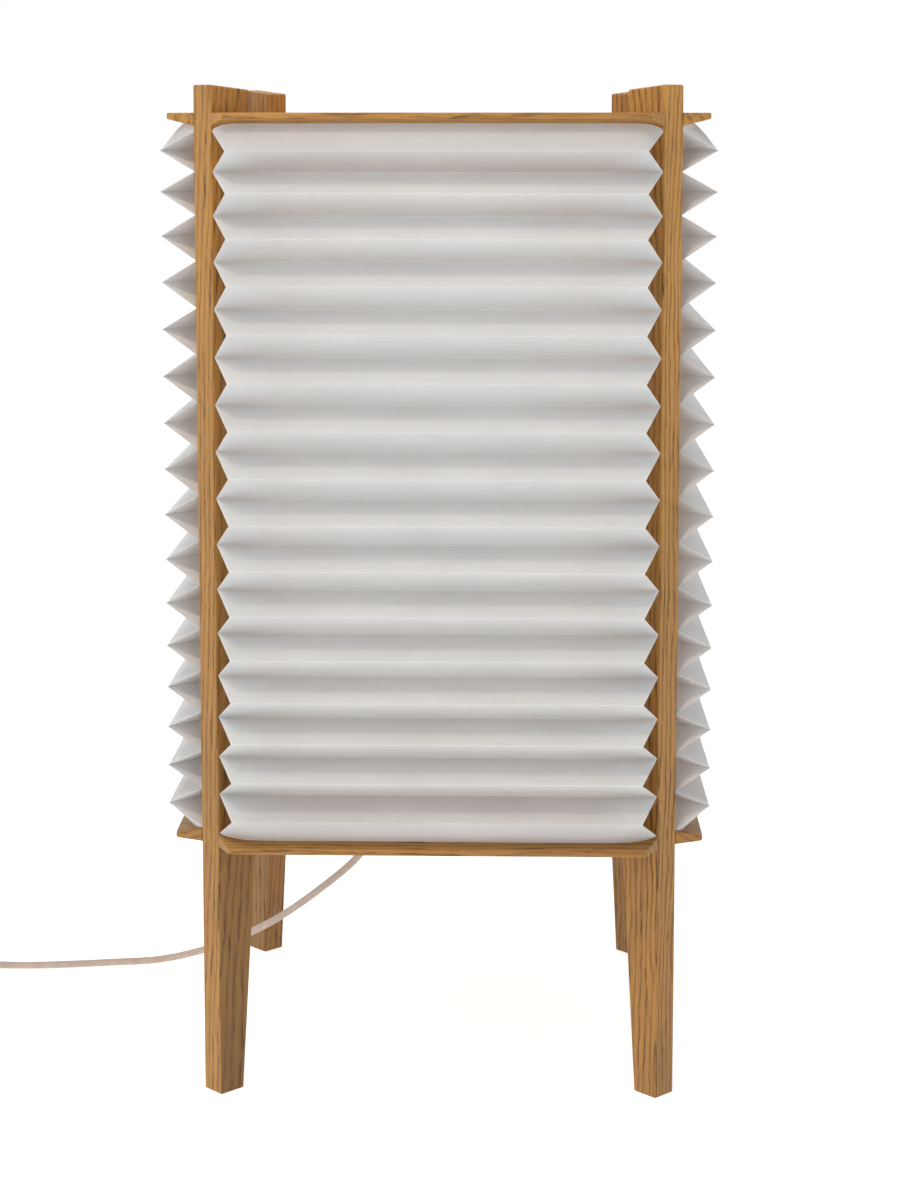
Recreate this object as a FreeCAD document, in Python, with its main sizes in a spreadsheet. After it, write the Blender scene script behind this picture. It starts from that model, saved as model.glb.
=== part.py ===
import FreeCAD
import Part
import Sketcher
import math
import os

# Pleated paper table lamp.
# Four radial oak legs pass through the corner slots of two square boards. Between the
# boards stand four pleated paper panels, one on each side. The bulb and its holder stand
# on the bottom board, and the mains cord leaves through a bushing beside them.
# Frame: +Z up, origin on the floor at the lamp's axis, millimetres. The front is -Y.

DRIVING = [
    ("total_height", 600, "floor to the highest point of the legs"),
    ("leg_reach", 191.5, "axis to a leg's outer face, along the diagonal"),
    ("leg_thick", 16, "board thickness of a leg"),
    ("leg_deep", 29, "radial depth of a leg above the bottom board"),
    ("foot_deep", 17.5, "radial depth of a leg at the floor"),
    ("leg_drop", 2.8, "fall of a leg's top end towards the axis"),
    ("leg_round", 1.2, "rounding of a leg's arrises"),
    ("board_half", 157.5, "axis to a board's rim"),
    ("ear_half", 122, "half the length of a board's straight rim"),
    ("board_thick", 9, "thickness of a board"),
    ("rim_thick", 3.5, "thickness left at a board's rim by the bevel"),
    ("bevel_wide", 23, "width of the bevel"),
    ("ear_round", 4, "rounding of a board's eight outer corners, seen from above"),
    ("arris_round", 0.8, "rounding of the boards' arrises"),
    ("top_board_low", 575, "underside of the top board"),
    ("bottom_board_low", 153, "underside of the bottom board"),
    ("top_opening", 90, "radius of the opening in the top board"),
    ("dowel_radius", 2, "radius of a dowel between leg and board"),
    ("dowel_depth", 8, "depth of a dowel's hole"),
    ("ridge_plane", 162, "axis to the pleats' ridges"),
    ("ridge_half", 119.4, "half the length of a ridge"),
    ("flap_long", 31, "length of a ridge's turned-back end, inside the pleat"),
    ("pleat_count", 16, "pleats in a panel"),
    ("ridge_share", 0.475, "how far down between its two valleys a ridge lies"),
    ("paper_thick", 0.6, "thickness of the laminated paper"),
    ("paper_top", 573.2, "height of the paper's top corners"),
    ("paper_low", 161.4, "height of the paper's bottom corners"),
    ("edge_bow", 8, "bow of the paper's two long edges, outwards"),
    ("top_bow_reach", 13, "length in which the paper's top edge bows out at each end"),
    ("low_bow_reach", 26, "length in which the paper's bottom edge bows out at each end"),
    ("edge_gap", 0.4, "play between a paper edge and its board"),
    ("holder_radius", 20.5, "outer radius of the lamp holder"),
    ("holder_base_height", 26, "height of the lamp holder's base"),
    ("holder_wall", 2.5, "wall of the lamp holder's base"),
    ("sleeve_height", 30, "height of the lamp holder's sleeve above the base"),
    ("sleeve_bore", 15.6, "inner radius of the sleeve"),
    ("shell_radius", 14.3, "outer radius of the brass screw shell"),
    ("shell_height", 26, "height of the brass screw shell"),
    ("bulb_radius", 30, "radius of the bulb's globe"),
    ("bulb_neck", 13.2, "radius of the bulb's neck"),
    ("bulb_rise", 64, "screw cap's foot to the centre of the globe"),
    ("bushing_across", -46, "cord bushing, along X"),
    ("bushing_back", 24, "cord bushing, along Y"),
    ("bushing_drop", 22, "length of the bushing's taper under the board"),
    ("cord_diameter", 4.8, "diameter of the mains cord"),
    ("switch_across", -384, "centre of the switch, along X"),
    ("switch_back", 77.5, "centre of the switch, along Y"),
    ("switch_long", 62, "length of the switch housing"),
    ("switch_wide", 26, "width of the switch housing"),
    ("switch_half_height", 8, "height of each half of the switch housing"),
    ("switch_cord_height", 6.5, "height of the cord where it meets the switch"),
    ("rocker_long", 19.6, "length of the rocker"),
    ("rocker_wide", 12, "width of the rocker"),
    ("rocker_tilt", 8, "tilt of the rocker each way, in degrees"),
    ("pivot_height", 11.5, "height of the rocker's pivot"),
    ("pivot_radius", 1, "radius of the pivot pin"),
    ("bushing_taper", 12, "length of the switch's tapered cord sleeves"),
    ("plug_front", -375, "plug's face with the pins, along X"),
    ("plug_long", 33, "length of the plug's body"),
    ("plug_wide", 35.3, "width of the plug's body"),
    ("plug_high", 13.7, "height of the plug's body"),
    ("plug_taper", 22, "length of the plug's tapered cord sleeve"),
    ("pin_length", 19, "length of a plug pin"),
    ("pin_radius", 2, "radius of a plug pin"),
    ("pin_spacing", 18.6, "distance between the plug pins at their feet"),
    ("coil_across", -465, "centre of the put-away coil, along X"),
    ("coil_back", 38, "centre of the put-away coil, along Y"),
    ("coil_outer", 38.05, "radius of the coil's outermost turn"),
    ("coil_pitch", 5.3, "distance between neighbouring turns"),
]

ROOT_HALF = math.sqrt(0.5)
Vector = FreeCAD.Vector

doc = FreeCAD.newDocument("PleatedPaperLamp")
sheet = doc.addObject("Spreadsheet::Sheet", "Sizes")
for row, (alias, number, note) in enumerate(DRIVING, start=1):
    sheet.set(f"A{row}", note)
    sheet.set(f"B{row}", str(number))
    sheet.setAlias(f"B{row}", alias)
doc.recompute()


class Length:
    """A size with its value and the sheet expression that gives it."""

    def __init__(self, value, text):
        self.value = float(value)
        self.text = text

    def __add__(self, other):
        other = as_length(other)
        return Length(self.value + other.value, f"({self.text} + {other.text})")

    def __sub__(self, other):
        other = as_length(other)
        return Length(self.value - other.value, f"({self.text} - {other.text})")

    def __mul__(self, factor):
        return Length(self.value * factor, f"({self.text} * {factor:.9f})")

    def __neg__(self):
        return self * -1.0

    def __truediv__(self, divisor):
        return self * (1.0 / divisor)

    __rmul__ = __mul__


def as_length(size):
    """Wraps a plain number, and leaves a Length as it is."""
    return size if isinstance(size, Length) else Length(size, f"{float(size):.9f}")


def cell(alias):
    """The driving size that has this alias in the sheet."""
    return Length(sheet.get(alias), f"Sizes.{alias}")


SIZE = {alias: cell(alias) for alias, _, _ in DRIVING}
SUBPARTS = []


def keep(thing, label):
    """Names an object as a sub-part, which is written to its own file."""
    thing.Label = label
    SUBPARTS.append(thing)
    return thing


def bind(thing, **settings):
    """Binds properties of an object to sizes."""
    for name, size in settings.items():
        thing.setExpression(name, as_length(size).text)


def place(thing, across=0, back=0, up=0, turn=None):
    """Sets a Placement, with its base bound to sizes and its turn as (axis, degrees)."""
    base = [as_length(size) for size in (across, back, up)]
    axis, degrees = turn or (Vector(0, 0, 1), 0)
    thing.Placement = FreeCAD.Placement(
        Vector(*[size.value for size in base]), FreeCAD.Rotation(axis, degrees)
    )
    for name, size in zip("xyz", base):
        thing.setExpression(f"Placement.Base.{name}", size.text)


def new_body(name):
    return doc.addObject("PartDesign::Body", name)


def origin_feature(body, role):
    """One of a body's own origin planes or axes, by its role."""
    return next(item for item in body.Origin.OriginFeatures if item.Role == role)


def new_sketch(body, name, role, offset=0, turn=None):
    """An empty sketch on an origin plane, moved along its normal and turned."""
    sketch = body.newObject("Sketcher::SketchObject", name)
    sketch.AttachmentSupport = [(origin_feature(body, role), "")]
    sketch.MapMode = "FlatFace"
    axis, degrees = turn or (Vector(0, 0, 1), 0)
    rotation = FreeCAD.Rotation(axis, degrees)
    offset = as_length(offset)
    step = rotation.multVec(Vector(0, 0, offset.value))
    sketch.AttachmentOffset = FreeCAD.Placement(step, rotation)
    if turn is None:
        sketch.setExpression("AttachmentOffset.Base.z", offset.text)
    return sketch


def add_outline(sketch, corners):
    """A closed outline of straight edges, each corner fixed from the sketch's origin."""
    corners = [(as_length(a), as_length(b)) for a, b in corners]
    spots = [Vector(a.value, b.value, 0) for a, b in corners]
    first = sketch.GeometryCount
    count = len(spots)
    for i in range(count):
        sketch.addGeometry(Part.LineSegment(spots[i], spots[(i + 1) % count]))
    for i in range(count):
        follower = first + (i + 1) % count
        sketch.addConstraint(Sketcher.Constraint("Coincident", first + i, 2, follower, 1))
    for i, corner in enumerate(corners):
        for kind, size in zip(("DistanceX", "DistanceY"), corner):
            rule = Sketcher.Constraint(kind, -1, 1, first + i, 1, size.value)
            index = sketch.addConstraint(rule)
            sketch.setExpression(f"Constraints[{index}]", size.text)


def add_circle(sketch, across, up, radius):
    """A circle fixed from the sketch's origin."""
    across, up, radius = as_length(across), as_length(up), as_length(radius)
    middle = Vector(across.value, up.value, 0)
    circle = Part.Circle(middle, Vector(0, 0, 1), radius.value)
    index = sketch.addGeometry(circle)
    rules = [
        (Sketcher.Constraint("DistanceX", -1, 1, index, 3, across.value), across),
        (Sketcher.Constraint("DistanceY", -1, 1, index, 3, up.value), up),
        (Sketcher.Constraint("Radius", index, radius.value), radius),
    ]
    for rule, size in rules:
        constraint = sketch.addConstraint(rule)
        sketch.setExpression(f"Constraints[{constraint}]", size.text)


def pad(body, sketch, length, symmetric=False):
    feature = body.newObject("PartDesign::Pad", f"{body.Name}_pad")
    feature.Profile = sketch
    bind(feature, Length=length)
    feature.SideType = "Symmetric" if symmetric else "One side"
    doc.recompute()
    return feature


def pocket(body, sketch, length=None, symmetric=False, backwards=False):
    """Cuts a sketch out of a body, right through it where no length is given."""
    before = body.Shape.Volume
    feature = body.newObject("PartDesign::Pocket", f"{body.Name}_pocket")
    feature.Profile = sketch
    feature.SideType = "Symmetric" if symmetric else "One side"
    feature.Reversed = backwards
    if length is None:
        feature.Type = "ThroughAll"
    else:
        bind(feature, Length=length)
    doc.recompute()
    if body.Shape.Volume >= before:
        raise RuntimeError(f"{feature.Name} cuts nothing")
    return feature


def four_times(body, feature):
    """Repeats a feature at the four corners of the lamp."""
    before = body.Shape.Volume
    pattern = body.newObject("PartDesign::PolarPattern", f"{body.Name}_corners")
    pattern.Originals = [feature]
    pattern.Axis = (origin_feature(body, "Z_Axis"), [""])
    pattern.Angle = 360
    pattern.Occurrences = 4
    body.Tip = pattern
    doc.recompute()
    if body.Shape.Volume >= before:
        raise RuntimeError(f"{pattern.Name} repeats nothing")


def round_edges(body, radius, chosen):
    """Rounds the edges of a body whose middle point is chosen."""
    base = body.Tip
    names = []
    for number, edge in enumerate(base.Shape.Edges, start=1):
        if chosen(edge.valueAt((edge.FirstParameter + edge.LastParameter) / 2), edge):
            names.append(f"Edge{number}")
    feature = body.newObject("PartDesign::Fillet", f"{body.Name}_rounding")
    feature.Base = (base, names)
    bind(feature, Radius=radius)
    body.Tip = feature
    doc.recompute()


def turned(label, outline):
    """A body turned about the lamp's vertical axis from (radius, height) corners."""
    body = new_body(label)
    sketch = new_sketch(body, f"{label}_profile", "XZ_Plane")
    add_outline(sketch, outline)
    feature = body.newObject("PartDesign::Revolution", f"{label}_turned")
    feature.Profile = sketch
    feature.ReferenceAxis = (sketch, ["V_Axis"])
    feature.Angle = 360
    doc.recompute()
    return keep(body, label)


def cylinder(name, radius, height, across=0, back=0, up=0, turn=None):
    """A plain cylinder that stands on the given point, before its turn."""
    thing = doc.addObject("Part::Cylinder", name)
    bind(thing, Radius=radius, Height=height)
    place(thing, across, back, up, turn)
    return thing


def grouped(label, things):
    """Separate solids that share one node."""
    group = doc.addObject("Part::MultiFuse", label)
    group.Shapes = things
    doc.recompute()
    return keep(group, label)


# ---------------------------------------------------------------- legs and boards


def make_leg(label, heading):
    """A radial leg. Its depth tapers from the inside, from the bottom board to the foot."""
    body = new_body(label)
    reach, deep = SIZE["leg_reach"], SIZE["leg_deep"]
    side = new_sketch(body, f"{label}_side", "XZ_Plane")
    add_outline(
        side,
        [
            (reach, 0),
            (reach, SIZE["total_height"]),
            (reach - deep, SIZE["total_height"] - SIZE["leg_drop"]),
            (reach - deep, SIZE["bottom_board_low"]),
            (reach - SIZE["foot_deep"], 0),
        ],
    )
    pad(body, side, SIZE["leg_thick"], symmetric=True)
    round_edges(body, SIZE["leg_round"], lambda middle, edge: True)
    holes = new_sketch(body, f"{label}_dowel_holes", "YZ_Plane", reach - deep + SIZE["dowel_depth"])
    for board in ("top_board_low", "bottom_board_low"):
        add_circle(holes, 0, SIZE[board] + SIZE["board_thick"] / 2, SIZE["dowel_radius"])
    pocket(body, holes, SIZE["dowel_depth"] * 2)
    place(body, turn=(Vector(0, 0, 1), heading))
    return keep(body, label)


def board_outline():
    """The square with a slot for a leg in each corner, as 24 corners."""
    reach, deep, half = SIZE["leg_reach"], SIZE["leg_deep"], SIZE["leg_thick"] / 2
    rim, ear = SIZE["board_half"], SIZE["ear_half"]
    inner = reach - deep
    corner = [
        (rim, ear),
        ((reach + half) * ROOT_HALF, (reach - half) * ROOT_HALF),
        ((inner + half) * ROOT_HALF, (inner - half) * ROOT_HALF),
        ((inner - half) * ROOT_HALF, (inner + half) * ROOT_HALF),
        ((reach - half) * ROOT_HALF, (reach + half) * ROOT_HALF),
        (ear, rim),
    ]
    outline = []
    for _ in range(4):
        outline += corner
        corner = [(-b, a) for a, b in corner]
    return outline


def cut_bevels(body, facing_up):
    """Bevels the four straight rims on the face that looks at the paper."""
    rim, wide = SIZE["board_half"], SIZE["bevel_wide"]
    depth = SIZE["board_thick"] - SIZE["rim_thick"]
    past = 1.1
    for role in ("XZ_Plane", "YZ_Plane"):
        sketch = new_sketch(body, f"{body.Name}_{role[:2]}_bevel", role)
        for side in (1, -1):
            face = SIZE["board_thick"] if facing_up else as_length(0)
            slope = depth * (-past if facing_up else past)
            start = (rim - wide) * side
            outer = (rim - wide + wide * past) * side
            add_outline(sketch, [(start, face), (outer, face), (outer, face + slope)])
        pocket(body, sketch, symmetric=True)


def make_board(label, low, facing_up, openings, screw_holes=()):
    """A square board with bevelled rims, corner slots, dowel holes and round openings."""
    body = new_body(label)
    sketch = new_sketch(body, f"{label}_outline", "XY_Plane")
    add_outline(sketch, board_outline())
    for across, back, radius in openings:
        add_circle(sketch, across, back, radius)
    pad(body, sketch, SIZE["board_thick"])
    rim, ear = SIZE["board_half"].value, SIZE["ear_half"].value
    corner = Vector(rim, ear, 0)

    def ear_corner(middle, edge):
        larger, smaller = max(abs(middle.x), abs(middle.y)), min(abs(middle.x), abs(middle.y))
        return Vector(larger, smaller, 0).isEqual(corner, 0.01)

    round_edges(body, SIZE["ear_round"], ear_corner)
    cut_bevels(body, facing_up)

    def rim_arris(middle, edge):
        return max(abs(middle.x), abs(middle.y)) > rim - 0.01

    round_edges(body, SIZE["arris_round"], rim_arris)
    if screw_holes:
        pilots = new_sketch(body, f"{label}_pilots", "XY_Plane", SIZE["board_thick"])
        for across, back, radius in screw_holes:
            add_circle(pilots, across, back, radius)
        pocket(body, pilots, SIZE["board_thick"] - 2)
    slot_end = SIZE["leg_reach"] - SIZE["leg_deep"]
    hole = new_sketch(body, f"{label}_dowel_hole", "YZ_Plane", slot_end, (Vector(0, 1, 0), 45))
    add_circle(hole, 0, SIZE["board_thick"] / 2, SIZE["dowel_radius"])
    four_times(body, pocket(body, hole, SIZE["dowel_depth"]))
    place(body, up=low)
    return keep(body, label)


def make_dowels():
    """Eight beech dowels, one in each joint between a leg and a board."""
    dowels = []
    inner_end = SIZE["leg_reach"] - SIZE["leg_deep"] - SIZE["dowel_depth"]
    for board in ("top_board_low", "bottom_board_low"):
        height = SIZE[board] + SIZE["board_thick"] / 2
        for corner in range(4):
            heading = 45 + 90 * corner
            forward = Vector(math.cos(math.radians(heading)), math.sin(math.radians(heading)), 0)
            lying = FreeCAD.Rotation(Vector(0, 0, 1), forward)
            dowels.append(
                cylinder(
                    f"dowel_{board[:3]}_{corner}",
                    SIZE["dowel_radius"],
                    SIZE["dowel_depth"] * 2,
                    inner_end * forward.x,
                    inner_end * forward.y,
                    height,
                    (lying.Axis, math.degrees(lying.Angle)),
                )
            )
    return grouped("board_dowels", dowels)


# ---------------------------------------------------------------- pleated paper


def pleat_heights():
    """The heights of the valley folds, from the top: tallest pleats above the middle."""
    tallest, top_squeeze, foot_squeeze = 4, 0.30, 0.048
    mid_rise, last_pull = 27.7, 1.5
    count = int(SIZE["pleat_count"].value)
    rises = []
    for number in range(count):
        squeeze = top_squeeze if number < tallest else foot_squeeze
        rises.append(mid_rise - squeeze * (number - tallest) ** 2)
    rises[-1] += last_pull
    span = SIZE["paper_top"].value - SIZE["paper_low"].value
    scale = span / sum(rises)
    heights = [SIZE["paper_top"].value]
    for rise in rises:
        heights.append(heights[-1] - rise * scale)
    return heights


def bevel_height(outwards, facing_up):
    """The height of a board's bevel at a distance from the axis."""
    thick = SIZE["board_thick"].value
    slope = (thick - SIZE["rim_thick"].value) / SIZE["bevel_wide"].value
    depth = slope * (outwards - SIZE["board_half"].value + SIZE["bevel_wide"].value)
    if facing_up:
        return SIZE["bottom_board_low"].value + thick - depth
    return SIZE["top_board_low"].value + depth


def paper_outline():
    """The folds of one panel: where the ridges, valleys and pleat ends are in plan.

    A pleat's end is closed by an inside reverse fold: the flap past the crease from a
    valley's end to a ridge's end is turned back into the pleat. The flap is the mirror
    image, about that crease, of paper that would have run straight on.
    """
    ridge_end = Vector(SIZE["ridge_half"].value, SIZE["ridge_plane"].value, 0)
    half = SIZE["leg_thick"].value / 2
    arris = SIZE["leg_reach"].value
    seat = SIZE["leg_round"].value
    valley_end = Vector(
        (arris - half) * ROOT_HALF - seat * ROOT_HALF - 0.05,
        (arris + half) * ROOT_HALF - seat * ROOT_HALF,
        0,
    )
    crease = (valley_end - ridge_end).normalize()
    straight_on = Vector(1, 0, 0) * SIZE["flap_long"].value
    along = crease * straight_on.dot(crease)
    mirrored = along * 2 - straight_on
    flap_end = ridge_end + Vector(mirrored.x, mirrored.y, 0)
    return ridge_end, valley_end, flap_end


def skin_shift(ridge_end, valley_end, flap_end, half_rise):
    """How far the paper's inner skin lies from its outer one, at the folds and the flap.

    Both follow from planes moved inwards by the paper's thickness, so the walls of the
    main pleats and of the end flaps are equally thick.
    """
    thick = SIZE["paper_thick"].value
    drop = Vector(0, 0, -half_rise)
    down = valley_end - ridge_end + drop
    wall = Vector(1, 0, 0).cross(down)
    wall.normalize()
    flap_line = (flap_end - ridge_end).normalize()
    flap = down.cross(flap_line)
    flap.normalize()
    inwards = thick / abs(wall.y)
    sideways = thick / math.hypot(flap.x, flap.y)
    normal = Vector(flap_line.y, -flap_line.x, 0)
    if normal.x > 0:
        normal = -normal
    across = (sideways - (-inwards) * normal.y) / normal.x
    return Vector(across, -inwards, 0), normal * sideways


def strip(left, right, flip):
    """Triangles between two lists of points of one length."""
    faces = []
    for i in range(len(left) - 1):
        quad = [left[i], right[i], right[i + 1], left[i + 1]]
        faces += [[quad[0], quad[1], quad[2]], [quad[0], quad[2], quad[3]]]
    return [face[::-1] for face in faces] if flip else faces


def bow_stations(half_length, reach):
    """Where the corners of a bowed edge lie along it, from 0 to 1, and how far out.

    The edge leaves the leg along a quarter of an ellipse, and then runs straight.
    """
    steps = 4
    stations = []
    for step in range(steps + 1):
        angle = math.pi / 2 * step / steps
        along = (1 - math.cos(angle)) * reach / (2 * half_length)
        stations.append((along, math.sin(angle)))
    return stations + [(1 - along, bow) for along, bow in stations[::-1]]


def make_shade_panel(label, heading):
    """One folded sheet: 16 pleats, reverse-folded at both ends, bowed at top and bottom."""
    ridge_end, valley_end, flap_end = paper_outline()
    valleys = pleat_heights()
    share = SIZE["ridge_share"].value
    ridges = [high + (low - high) * share for high, low in zip(valleys, valleys[1:])]
    half_rise = (valleys[7] - valleys[8]) / 2
    fold_shift, flap_shift = skin_shift(ridge_end, valley_end, flap_end, half_rise)
    stations = {
        facing_up: bow_stations(valley_end.x, SIZE[reach].value)
        for facing_up, reach in ((False, "top_bow_reach"), (True, "low_bow_reach"))
    }

    def fold(end, height, side, inner):
        spot = end + fold_shift if inner else end
        return Vector(spot.x * side, spot.y, height)

    def flap(height, side, inner):
        spot = flap_end + flap_shift if inner else flap_end
        return Vector(spot.x * side, spot.y, height)

    def line(end, height, facing_up, inner):
        first, last = (fold(end, height, side, inner) for side in (-1, 1))
        return [first + (last - first) * along for along, _ in stations[facing_up]]

    def edge(height, facing_up, inner):
        """A long edge of the sheet, bowed outwards and laid along the bevel."""
        points = line(valley_end, height, facing_up, inner)
        corner_gap = height - bevel_height(valley_end.y, facing_up)
        for point, (_, bow) in zip(points, stations[facing_up]):
            point.y += SIZE["edge_bow"].value * bow
            gap = SIZE["edge_gap"].value * (1 if facing_up else -1)
            middle = bevel_height(point.y - (fold_shift.y if inner else 0), facing_up) + gap
            point.z = height + (middle - height) * bow
            if abs(corner_gap) < SIZE["edge_gap"].value:
                point.z = max(point.z, middle)
        return points

    faces = []
    for inner in (False, True):
        rows = []
        for number, height in enumerate(valleys):
            last = number == len(valleys) - 1
            if number == 0 or last:
                rows.append(edge(height, last, inner))
            else:
                rows.append([fold(valley_end, height, side, inner) for side in (-1, 1)])
            if number in (0, len(ridges) - 1):
                rows.append(line(ridge_end, ridges[number], number > 0, inner))
            elif not last:
                rows.append([fold(ridge_end, ridges[number], side, inner) for side in (-1, 1)])
        for upper, lower in zip(rows, rows[1:]):
            faces += walls_between(upper, lower, inner)
        for number, height in enumerate(ridges):
            for side in (-1, 1):
                tip = fold(ridge_end, height, side, inner)
                back = flap(height, side, inner)
                above = (rows[2 * number][0], rows[2 * number][-1])[side > 0]
                below = (rows[2 * number + 2][0], rows[2 * number + 2][-1])[side > 0]
                pair = [[above, back, tip], [tip, back, below]]
                faces += [face[::-1] for face in pair] if (side > 0) != inner else pair
        if inner:
            inner_rows = rows
        else:
            outer_rows = rows
    for index, flip in ((0, False), (-1, True)):
        faces += strip(outer_rows[index], inner_rows[index], flip)
    for number, height in enumerate(ridges):
        for side in (-1, 1):
            end = 0 if side < 0 else -1
            borders = []
            for inner, rows in ((False, outer_rows), (True, inner_rows)):
                above, below = rows[2 * number][end], rows[2 * number + 2][end]
                borders.append([above, flap(height, side, inner), below])
            faces += strip(*borders, side < 0)
    sheet_faces = [Part.Face(Part.makePolygon(face + [face[0]])) for face in faces]
    shell = Part.makeShell(sheet_faces)
    shell.sewShape()
    solid = Part.makeSolid(Part.Shell(shell.Faces))
    if solid.Volume < 0:
        solid.reverse()
    panel = doc.addObject("Part::Feature", label)
    panel.Shape = solid.removeSplitter()
    place(panel, turn=(Vector(0, 0, 1), heading))
    return keep(panel, label)


def walls_between(upper, lower, inner):
    """The wall of a half pleat, between a valley's row of points and a ridge's."""
    if len(upper) == len(lower) == 2:
        quad = [upper[0], lower[0], lower[1], upper[1]]
        return [quad[::-1]] if inner else [quad]
    if len(upper) == len(lower):
        return strip(upper, lower, inner)
    top_is_long = len(upper) > len(lower)
    longer, shorter = (upper, lower) if top_is_long else (lower, upper)
    outline = longer + shorter[::-1]
    flip = inner == top_is_long
    return [outline if flip else outline[::-1]]


# ---------------------------------------------------------------- lamp holder and bulb


def make_holder():
    """The E27 holder on the bottom board: base, sleeve, insert, shell, contact, screws."""
    radius, wall = SIZE["holder_radius"], SIZE["holder_wall"]
    tall, bore = SIZE["holder_base_height"], SIZE["sleeve_bore"]
    floor = SIZE["bottom_board_low"] + SIZE["board_thick"]
    screw_across, screw_radius = 12, 1.5
    base = turned(
        "holder_base",
        [
            (0, 0),
            (radius - 1.5, 0),
            (radius, 1.5),
            (radius, tall),
            (radius - wall, tall),
            (radius - wall, wall),
            (0, wall),
        ],
    )
    holes = new_sketch(base, "holder_base_screw_holes", "XY_Plane", wall)
    for side in (1, -1):
        add_circle(holes, 0, screw_across * side, screw_radius)
    pocket(base, holes)
    entry_turn = math.degrees(math.atan2(SIZE["bushing_back"].value, SIZE["bushing_across"].value))
    entry = new_sketch(base, "holder_base_cord_entry", "YZ_Plane")
    add_circle(entry, 0, ENTRY_HEIGHT, SIZE["cord_diameter"] / 2 + 0.1)
    pocket(base, entry, radius + 2, backwards=True)
    place(base, up=floor, turn=(Vector(0, 0, 1), entry_turn))

    sleeve_low = tall - 8
    sleeve = turned(
        "holder_sleeve",
        [
            (bore, sleeve_low),
            (radius - wall - 0.1, sleeve_low),
            (radius - wall - 0.1, tall),
            (radius, tall),
            (radius, tall + 5),
            (radius - 1.2, tall + 7),
            (radius - 1.2, tall + SIZE["sleeve_height"] - 1),
            (radius - 2.2, tall + SIZE["sleeve_height"]),
            (bore, tall + SIZE["sleeve_height"]),
        ],
    )
    place(sleeve, up=floor)

    insert_low = tall - 6
    insulator = turned(
        "holder_insulator",
        [
            (0, insert_low),
            (bore - 2, insert_low),
            (bore - 0.1, insert_low + 2),
            (bore - 0.1, insert_low + 7),
            (0, insert_low + 7),
        ],
    )
    place(insulator, up=floor)
    shell_low = insert_low + 7
    shell = turned(
        "holder_screw_shell",
        [
            (SIZE["shell_radius"] - 0.6, shell_low),
            (SIZE["shell_radius"], shell_low),
            (SIZE["shell_radius"], shell_low + SIZE["shell_height"]),
            (SIZE["shell_radius"] - 0.6, shell_low + SIZE["shell_height"]),
        ],
    )
    place(shell, up=floor)
    contact = turned(
        "holder_centre_contact",
        [(0, shell_low), (3.5, shell_low), (3.5, shell_low + 1), (1.6, shell_low + 3), (0, shell_low + 3)],
    )
    place(contact, up=floor)
    posts = []
    for side in (1, -1):
        post_low = floor + insert_low - 3.5
        posts.append(cylinder(f"terminal_{side}", 2.2, 3.5, 0, 7 * side, post_low))
    grouped("holder_terminals", posts)
    screws = []
    for side in (1, -1):
        across = screw_across * side * -math.sin(math.radians(entry_turn))
        back = screw_across * side * math.cos(math.radians(entry_turn))
        depth = SIZE["board_thick"] - 3
        shank = cylinder(f"screw_shank_{side}", screw_radius, depth + wall, across, back, floor - depth)
        head = doc.addObject("Part::Cone", f"screw_head_{side}")
        bind(head, Radius1=3.2, Radius2=2.2, Height=1.8)
        place(head, across, back, floor + wall)
        screws += [shank, head]
    grouped("holder_screws", screws)
    return floor + shell_low + 3


def make_bulb(foot):
    """A pear-shaped bulb: screw cap and glass, the cap's foot on the centre contact."""
    neck, globe = SIZE["bulb_neck"], SIZE["bulb_radius"]
    cap = turned(
        "bulb_cap",
        [
            (0, 0),
            (3.5, 0),
            (5, 2),
            (neck - 1.2, 5),
            (neck, 6.5),
            (neck, 24),
            (neck - 0.6, 26),
            (0, 26),
        ],
    )
    place(cap, up=foot)
    ball = doc.addObject("Part::Sphere", "globe_ball")
    bind(ball, Radius=globe)
    place(ball, up=foot + SIZE["bulb_rise"])
    # The neck's cone touches the ball along a circle this far below its centre.
    drop = SIZE["bulb_rise"].value - 26
    reach = math.hypot(drop, neck.value)
    lean = math.asin(globe.value / reach) - math.atan2(neck.value, drop)
    touch_radius = globe.value * math.cos(lean)
    touch_drop = globe.value * math.sin(lean)
    cone = doc.addObject("Part::Cone", "globe_neck")
    bind(cone, Radius1=neck - 0.4, Radius2=touch_radius, Height=drop - touch_drop)
    place(cone, up=foot + 26)
    grouped("bulb_globe", [ball, cone])


# ---------------------------------------------------------------- mains cord

ENTRY_HEIGHT = 15
CORD_RADIUS = SIZE["cord_diameter"].value / 2
CORD_LIFT = CORD_RADIUS
PLUG_AXIS = SIZE["plug_high"].value / 2
COIL_LIFT = CORD_LIFT + SIZE["coil_pitch"].value
SWITCH_CORD = SIZE["switch_cord_height"].value
SWITCH_ENDS = [
    SIZE["switch_across"].value + side * (SIZE["switch_long"].value / 2 + SIZE["bushing_taper"].value)
    for side in (1, -1)
]
COIL_TOP = SIZE["coil_back"].value + SIZE["coil_outer"].value
COIL_FOOT = SIZE["coil_back"].value - SIZE["coil_outer"].value
COIL_X = SIZE["coil_across"].value
COIL_START = COIL_X + SIZE["cord_diameter"].value
PLUG_REAR = SIZE["plug_front"].value - SIZE["plug_long"].value - SIZE["plug_taper"].value
CORD_EXIT = SIZE["bottom_board_low"].value - SIZE["bushing_drop"].value

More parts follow.
